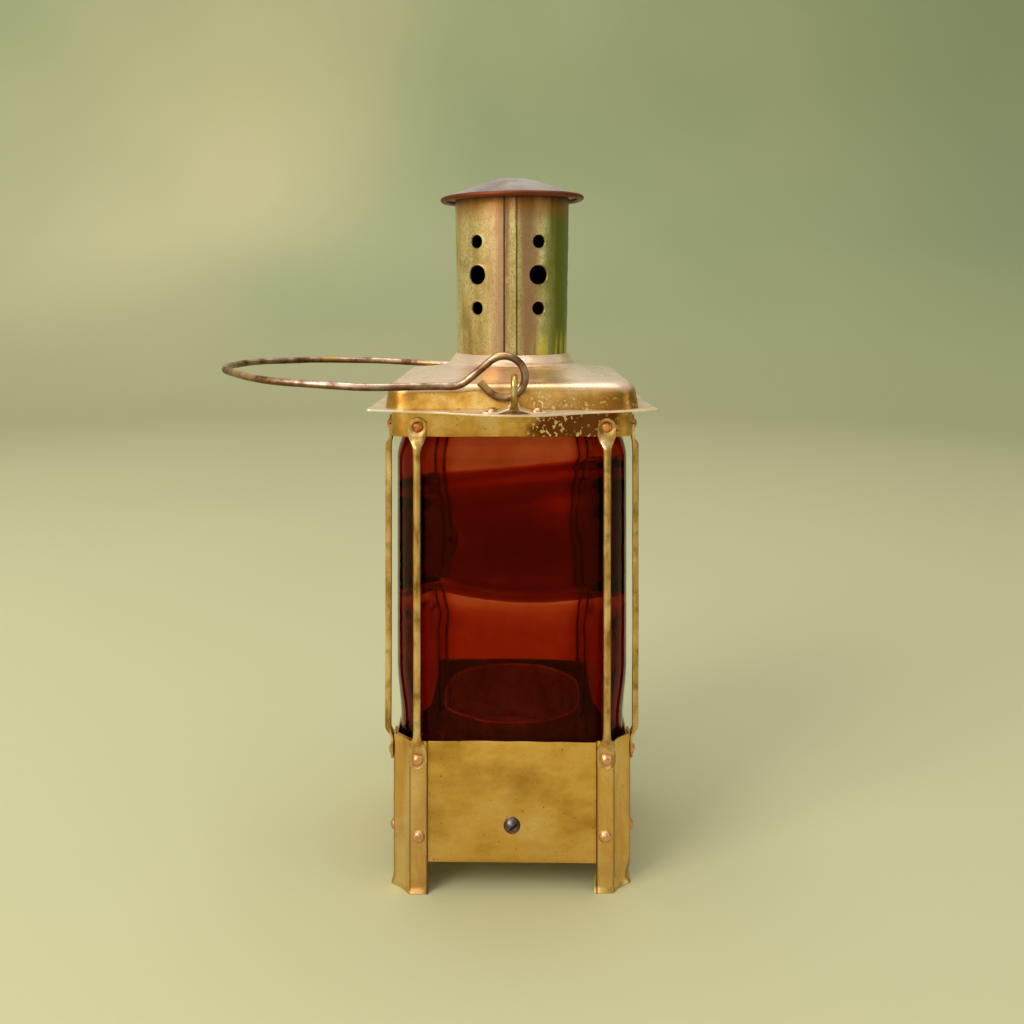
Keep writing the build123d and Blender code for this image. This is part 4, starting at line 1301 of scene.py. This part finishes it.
def makeStrap(side, name):
    # a short strip bent up over the link, its ends riveted down to the brim
    s = strapSizes
    foot = hoodLow.z
    droopHere = (bailSizes["linkY"] - roofSizes["hinge"]) * sin(roofSizes["droop"])
    centreZ = bailSizes["linkFoot"] + droopHere
    outer = s["tunnel"] + s["sheet"]
    left = [Vector((-s["half"], foot + s["sheet"])), Vector((-s["half"] * 0.75, foot + s["sheet"])),
            Vector((-s["toe"] - 0.9 * mm, foot + s["sheet"])), Vector((-outer, centreZ))]
    path = bentPath(left, s["bend"], 5)
    path += arcPoints((0, centreZ), outer, pi, 0, 14)[1:]
    path += [Vector((-p.x, p.y)) for p in bentPath(left, s["bend"], 5)[::-1][1:]]
    rows = []
    across = 8
    for step in range(across + 1):
        v = -1 + 2 * step / across
        row = []
        for p in path:
            toEnd = max(0, abs(p.x) / s["half"] - 0.8) / 0.2
            y = side * (bailSizes["linkY"] - v * s["width"] / 2 * (1 - 0.35 * toEnd ** 2))
            row.append(Vector((bailSizes["linkX"] + p.x, y, p.y)))
        rows.append(row)
    mesh = meshFromRows(name, rows, aroundClosed=False)
    hinge = Vector((0, side * roofSizes["hinge"], hoodLow.z))
    droop = Matrix.Rotation(-side * roofSizes["droop"], 4, "X")
    mesh.transform(Matrix.Translation(hinge) @ droop @ Matrix.Translation(-hinge))
    cleaned(mesh)
    if sum(face.normal.z * face.area for face in mesh.polygons) < 0:
        mesh.flip_normals()
    strap = newObject(name, mesh, brimBrass)
    return thicken(strap, s["sheet"] * 0.97, 0.15 * mm)


handOver(makeBail(), "bail", "bail_wire", "bail")
for side, end in ((-1, "front"), (1, "back")):
    handOver(makeLink(side, "link_" + end), "bail_links", "bail_wire", "bail_link_" + end)
    handOver(makeStrap(side, "strap_" + end), "lantern", "roof_brass", "link_strap_" + end)
print("bail made")


# glass and candle

glassLow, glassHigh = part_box("amber_glass")
glassSizes = {
    "corner": 14 * mm, "innerCorner": 18 * mm, "wall": 3.2 * mm, "shoulder": 158 * mm, "neckPull": 4.9 * mm,
    "footPull": 1.4 * mm, "footFree": 60 * mm, "footEnd": 84 * mm, "outerWave": 0.12 * mm,
    "innerWave": 0.35 * mm,
    "slant": 0.25, "arch": 6 * mm, "rise": 0.1, "edge": 0.5 * mm,
}
# how much thicker the wall is, by height, as the molten glass ran in the mould: (height, extra)
glassBands = ((60, -1.2), (76, -0.7), (95, -0.6), (107, -2.0), (110, -2.1), (115, 2.2), (128, 3.1),
              (146, 2.7), (156, 0.0),
              (162, -1.9), (176, -2.0))
# thick and thin spots on the front wall: (across, height, half width, half height, extra)
glassSpots = ((4, 126, 20, 12, 0.8), (20, 142, 12, 9, -2.2), (-21, 132, 4, 5, -1.2))
glassLook = {"density": 1150.0, "tint": "#EA9A48", "skin": "#B4603A"}


def moltenGlass(name):
    # pressed amber glass: deep red-brown, a smooth fire-polished skin with faint ripples
    material, tree = newMaterial(name)
    coordinates = addNode(tree, "ShaderNodeTexCoord").outputs["Object"]
    ripple = relief(tree, spots(tree, stretched(tree, coordinates, (1.0, 1.0, 2.2)), 24.0, 1.0), 0.35,
                    0.5 * mm)
    grime = spots(tree, coordinates, 9.0, 4.0, 0.6)
    film = colourRamp(tree, grime, (0.3, "#FFF2E6"), (0.75, "#F4D2BA"))
    tint = addNode(tree, "ShaderNodeVolumeAbsorption", {"Color": linear(glassLook["tint"]),
                                                       "Density": glassLook["density"]})
    surface(tree, {"Transmission Weight": 1.0, "IOR": 1.5, "Specular Tint": linear(glassLook["skin"])},
            {"Base Color": film, "Roughness": maskBetween(tree, grime, 0.45, 0.75, 0.12, 0.02),
             "Normal": ripple},
            Volume=tint.outputs["Volume"])
    return material


amberGlass = moltenGlass("pressedAmberGlass")


def makeGlass():
    s = glassSizes
    levels = fillBetween(glassLow.z, s["shoulder"], 100)
    levels += fillBetween(s["shoulder"], glassHigh.z, 20)[1:]

    def thicker(x, y, z):
        # the bands slant down towards the back, and hang lowest a little right of the middle
        across = max(-1, min(1, (x / mm - 8) / 37))
        hang = s["arch"] * across * across * ease(-y, 20 * mm, 40 * mm) * (1 - ease(z, 116 * mm, 128 * mm))
        rise = s["rise"] * x * ease(z, 132 * mm, 150 * mm)
        level = (z + s["slant"] * (y - glassLow.y) - hang - rise) / mm
        extra = glassBands[-1][1] if level > glassBands[-1][0] else glassBands[0][1]
        for (low, before), (high, after) in zip(glassBands, glassBands[1:]):
            if low < level <= high:
                extra = before + (after - before) * ease(level, low, high)
        if y < -30 * mm:
            for middle, height, wide, tall, spotExtra in glassSpots:
                away = hypot((x / mm - middle) / wide, (z / mm - height) / tall)
                extra += spotExtra * (1 - ease(away, 0, 1.3))
        return max(extra, -2.2) * mm

    def wallRow(z, inset, wave, seed):
        neck = s["neckPull"] * ease(z, s["shoulder"] + 4 * mm, glassHigh.z + 7 * mm) * 1.4
        foot = s["footPull"] * (1 - ease(z, s["footFree"], s["footEnd"]))
        corner = s["innerCorner"] if inset else s["corner"]
        row = roundedRow(glassHigh.x - inset - min(neck, s["neckPull"]) - foot, corner, z)
        for spot in row:
            flow = wobble((spot.x, spot.y, z * 2.4), 30 * mm, seed) * 0.7
            flow += wobble((spot.x * 0.4, spot.y * 0.4, z * 3.0), 22 * mm, seed + 1) * 0.5
            shift = wave * flow
            if inset == 0:
                shift = -abs(shift)
            else:
                shift -= thicker(spot.x, spot.y, z)
            spot.x *= 1 + shift / glassHigh.x
            spot.y *= 1 + shift / glassHigh.x
        return row

    rows = [wallRow(z, 0, s["outerWave"], 51) for z in levels]
    rows += [wallRow(z, s["wall"], s["innerWave"], 53) for z in levels[::-1]]
    mesh = meshFromRows("moltenGlass", rows, rowsClosed=True)
    glass = newObject("pressedGlass", mesh, amberGlass)
    easeEdges(glass, s["edge"], 3, 60)
    return applied(glass, 70)


handOver(makeGlass(), "lantern", "amber_glass", "amber_glass")


def softFinish(name, look):
    # wax and cotton: a matt body colour with faint mottling, and light that goes a little way in
    material, tree = newMaterial(name)
    coordinates = addNode(tree, "ShaderNodeTexCoord").outputs["Object"]
    cloud = spots(tree, stretched(tree, coordinates, look["stretch"]), look["cloudMm"], 4.0)
    colour = colourRamp(tree, cloud, (0.35, look["dark"]), (0.65, look["light"]))
    rough = maskBetween(tree, cloud, 0.0, 1.0, look["rough"] + 0.08, look["rough"] - 0.08)
    glow = {"Subsurface Weight": look["glow"], "Subsurface Radius": (0.006, 0.003, 0.0015),
            "Subsurface Scale": 1.0}
    surface(tree, glow, {"Base Color": colour, "Roughness": rough,
                         "Normal": relief(tree, cloud, look["bump"], 0.2 * mm)})
    return material


candleWax = softFinish("paraffinWax", {
    "light": "#EFE6CF", "dark": "#DCCFAE", "cloudMm": 12.0, "stretch": (1, 1, 1), "bump": 0.3, "rough": 0.45,
    "glow": 0.35})
wickCotton = softFinish("charredCotton", {
    "light": "#5A4A3A", "dark": "#1E1814", "cloudMm": 0.6, "stretch": (1, 1, 0.3), "bump": 0.8, "rough": 0.85,
    "glow": 0.0})
carriedOver = {
    "glass_ledge": innerBrass, "candle_tray": innerBrass, "candle_cup": innerBrass,
    "tray_nut_front": darkSteel,
    "tray_nut_back": darkSteel, "candle": candleWax, "wick": wickCotton,
}
for node, material in carriedOver.items():
    carried = bpy.data.objects[node]
    carried.data.materials.clear()
    carried.data.materials.append(material)
print("glass and candle made")


# studio

studio = {
    "floorRadius": 1.5, "wallRadius": 2.3, "wallHeight": 1.5, "cream": "#E2DAB2", "sage": "#B6C098",
    "shade": "#94A07C", "floor": "#B8B48C", "cloudMm": 1000 / 1.1,
    "cameraDistance": 0.433, "cameraHeight": 0.226, "lens": 36.2, "shiftX": 0.0, "shiftY": -0.214,
}


def makeStage():
    profile = [(0, 0), (studio["floorRadius"] * 0.5, 0), (studio["floorRadius"], 0)]
    bend = studio["wallRadius"] - studio["floorRadius"]
    for step in range(1, 17):
        turn = pi / 2 * step / 16
        profile.append((studio["floorRadius"] + bend * sin(turn), bend * (1 - cos(turn))))
    profile.append((studio["wallRadius"], studio["wallHeight"]))
    mesh = revolved("paperSweep", profile, 96)
    mesh.flip_normals()
    mesh.shade_smooth()
    material, tree = newMaterial("mattPaper")
    coordinates = addNode(tree, "ShaderNodeTexCoord").outputs["Object"]
    cloud = spots(tree, coordinates, studio["cloudMm"], 2.0, 0.4)
    colour = colourRamp(tree, cloud, (0.32, studio["sage"]), (0.68, studio["cream"]))
    sides = axesOf(tree, coordinates)
    colour = mixIn(tree, colour, maskBetween(tree, sides["X"], -0.5, 1.1, 0.95), studio["shade"])
    colour = mixIn(tree, colour, maskBetween(tree, sides["Z"], 0.35, 0.0, 0.75), studio["floor"])
    surface(tree, {"Roughness": 0.9, "Specular IOR Level": 0.2}, {"Base Color": colour})
    newObject("paperSweep", mesh, material)


def addLight(name, place, target, size, power, colour):
    light = bpy.data.lights.new(name, "AREA")
    light.shape = "RECTANGLE"
    light.size, light.size_y = size
    light.energy = power
    light.color = linear(colour)[:3]
    lamp = bpy.data.objects.new(name, light)
    bpy.context.scene.collection.objects.link(lamp)
    lamp.location = place
    lamp.rotation_euler = (Vector(target) - Vector(place)).to_track_quat("-Z", "Y").to_euler()


makeStage()
addLight("keyLeft", (-0.9, -0.9, 1.0), (0, 0, 0.12), (0.7, 0.9), 13, "#FFF8EC")
addLight("overhead", (0.0, 0.1, 1.7), (0, 0, 0.1), (1.2, 1.2), 12, "#F8F6FF")
addLight("frontLeft", (-0.75, -1.6, 0.62), (0, 0, 0.2), (2.0, 0.8), 5.5, "#FFFAF2")
addLight("fillRight", (1.1, -0.6, 0.5), (0, 0, 0.12), (0.5, 0.8), 1.2, "#FAFAF4")
world = bpy.data.worlds.new("studioAir")
world.use_nodes = True
world.node_tree.nodes["Background"].inputs["Color"].default_value = linear("#F4F4EE")
world.node_tree.nodes["Background"].inputs["Strength"].default_value = 0.8
bpy.context.scene.world = world

cameraData = bpy.data.cameras.new("camera")
cameraData.lens = studio["lens"]
cameraData.sensor_width = 36
cameraData.shift_x = studio["shiftX"]
cameraData.shift_y = studio["shiftY"]
cameraData.clip_start = 0.02
camera = bpy.data.objects.new("camera", cameraData)
camera.location = (0, -studio["cameraDistance"], studio["cameraHeight"])
camera.rotation_euler = (pi / 2, 0, 0)
bpy.context.scene.collection.objects.link(camera)
bpy.context.scene.camera = camera
bpy.context.scene.view_settings.view_transform = "Standard"
print("studio made")
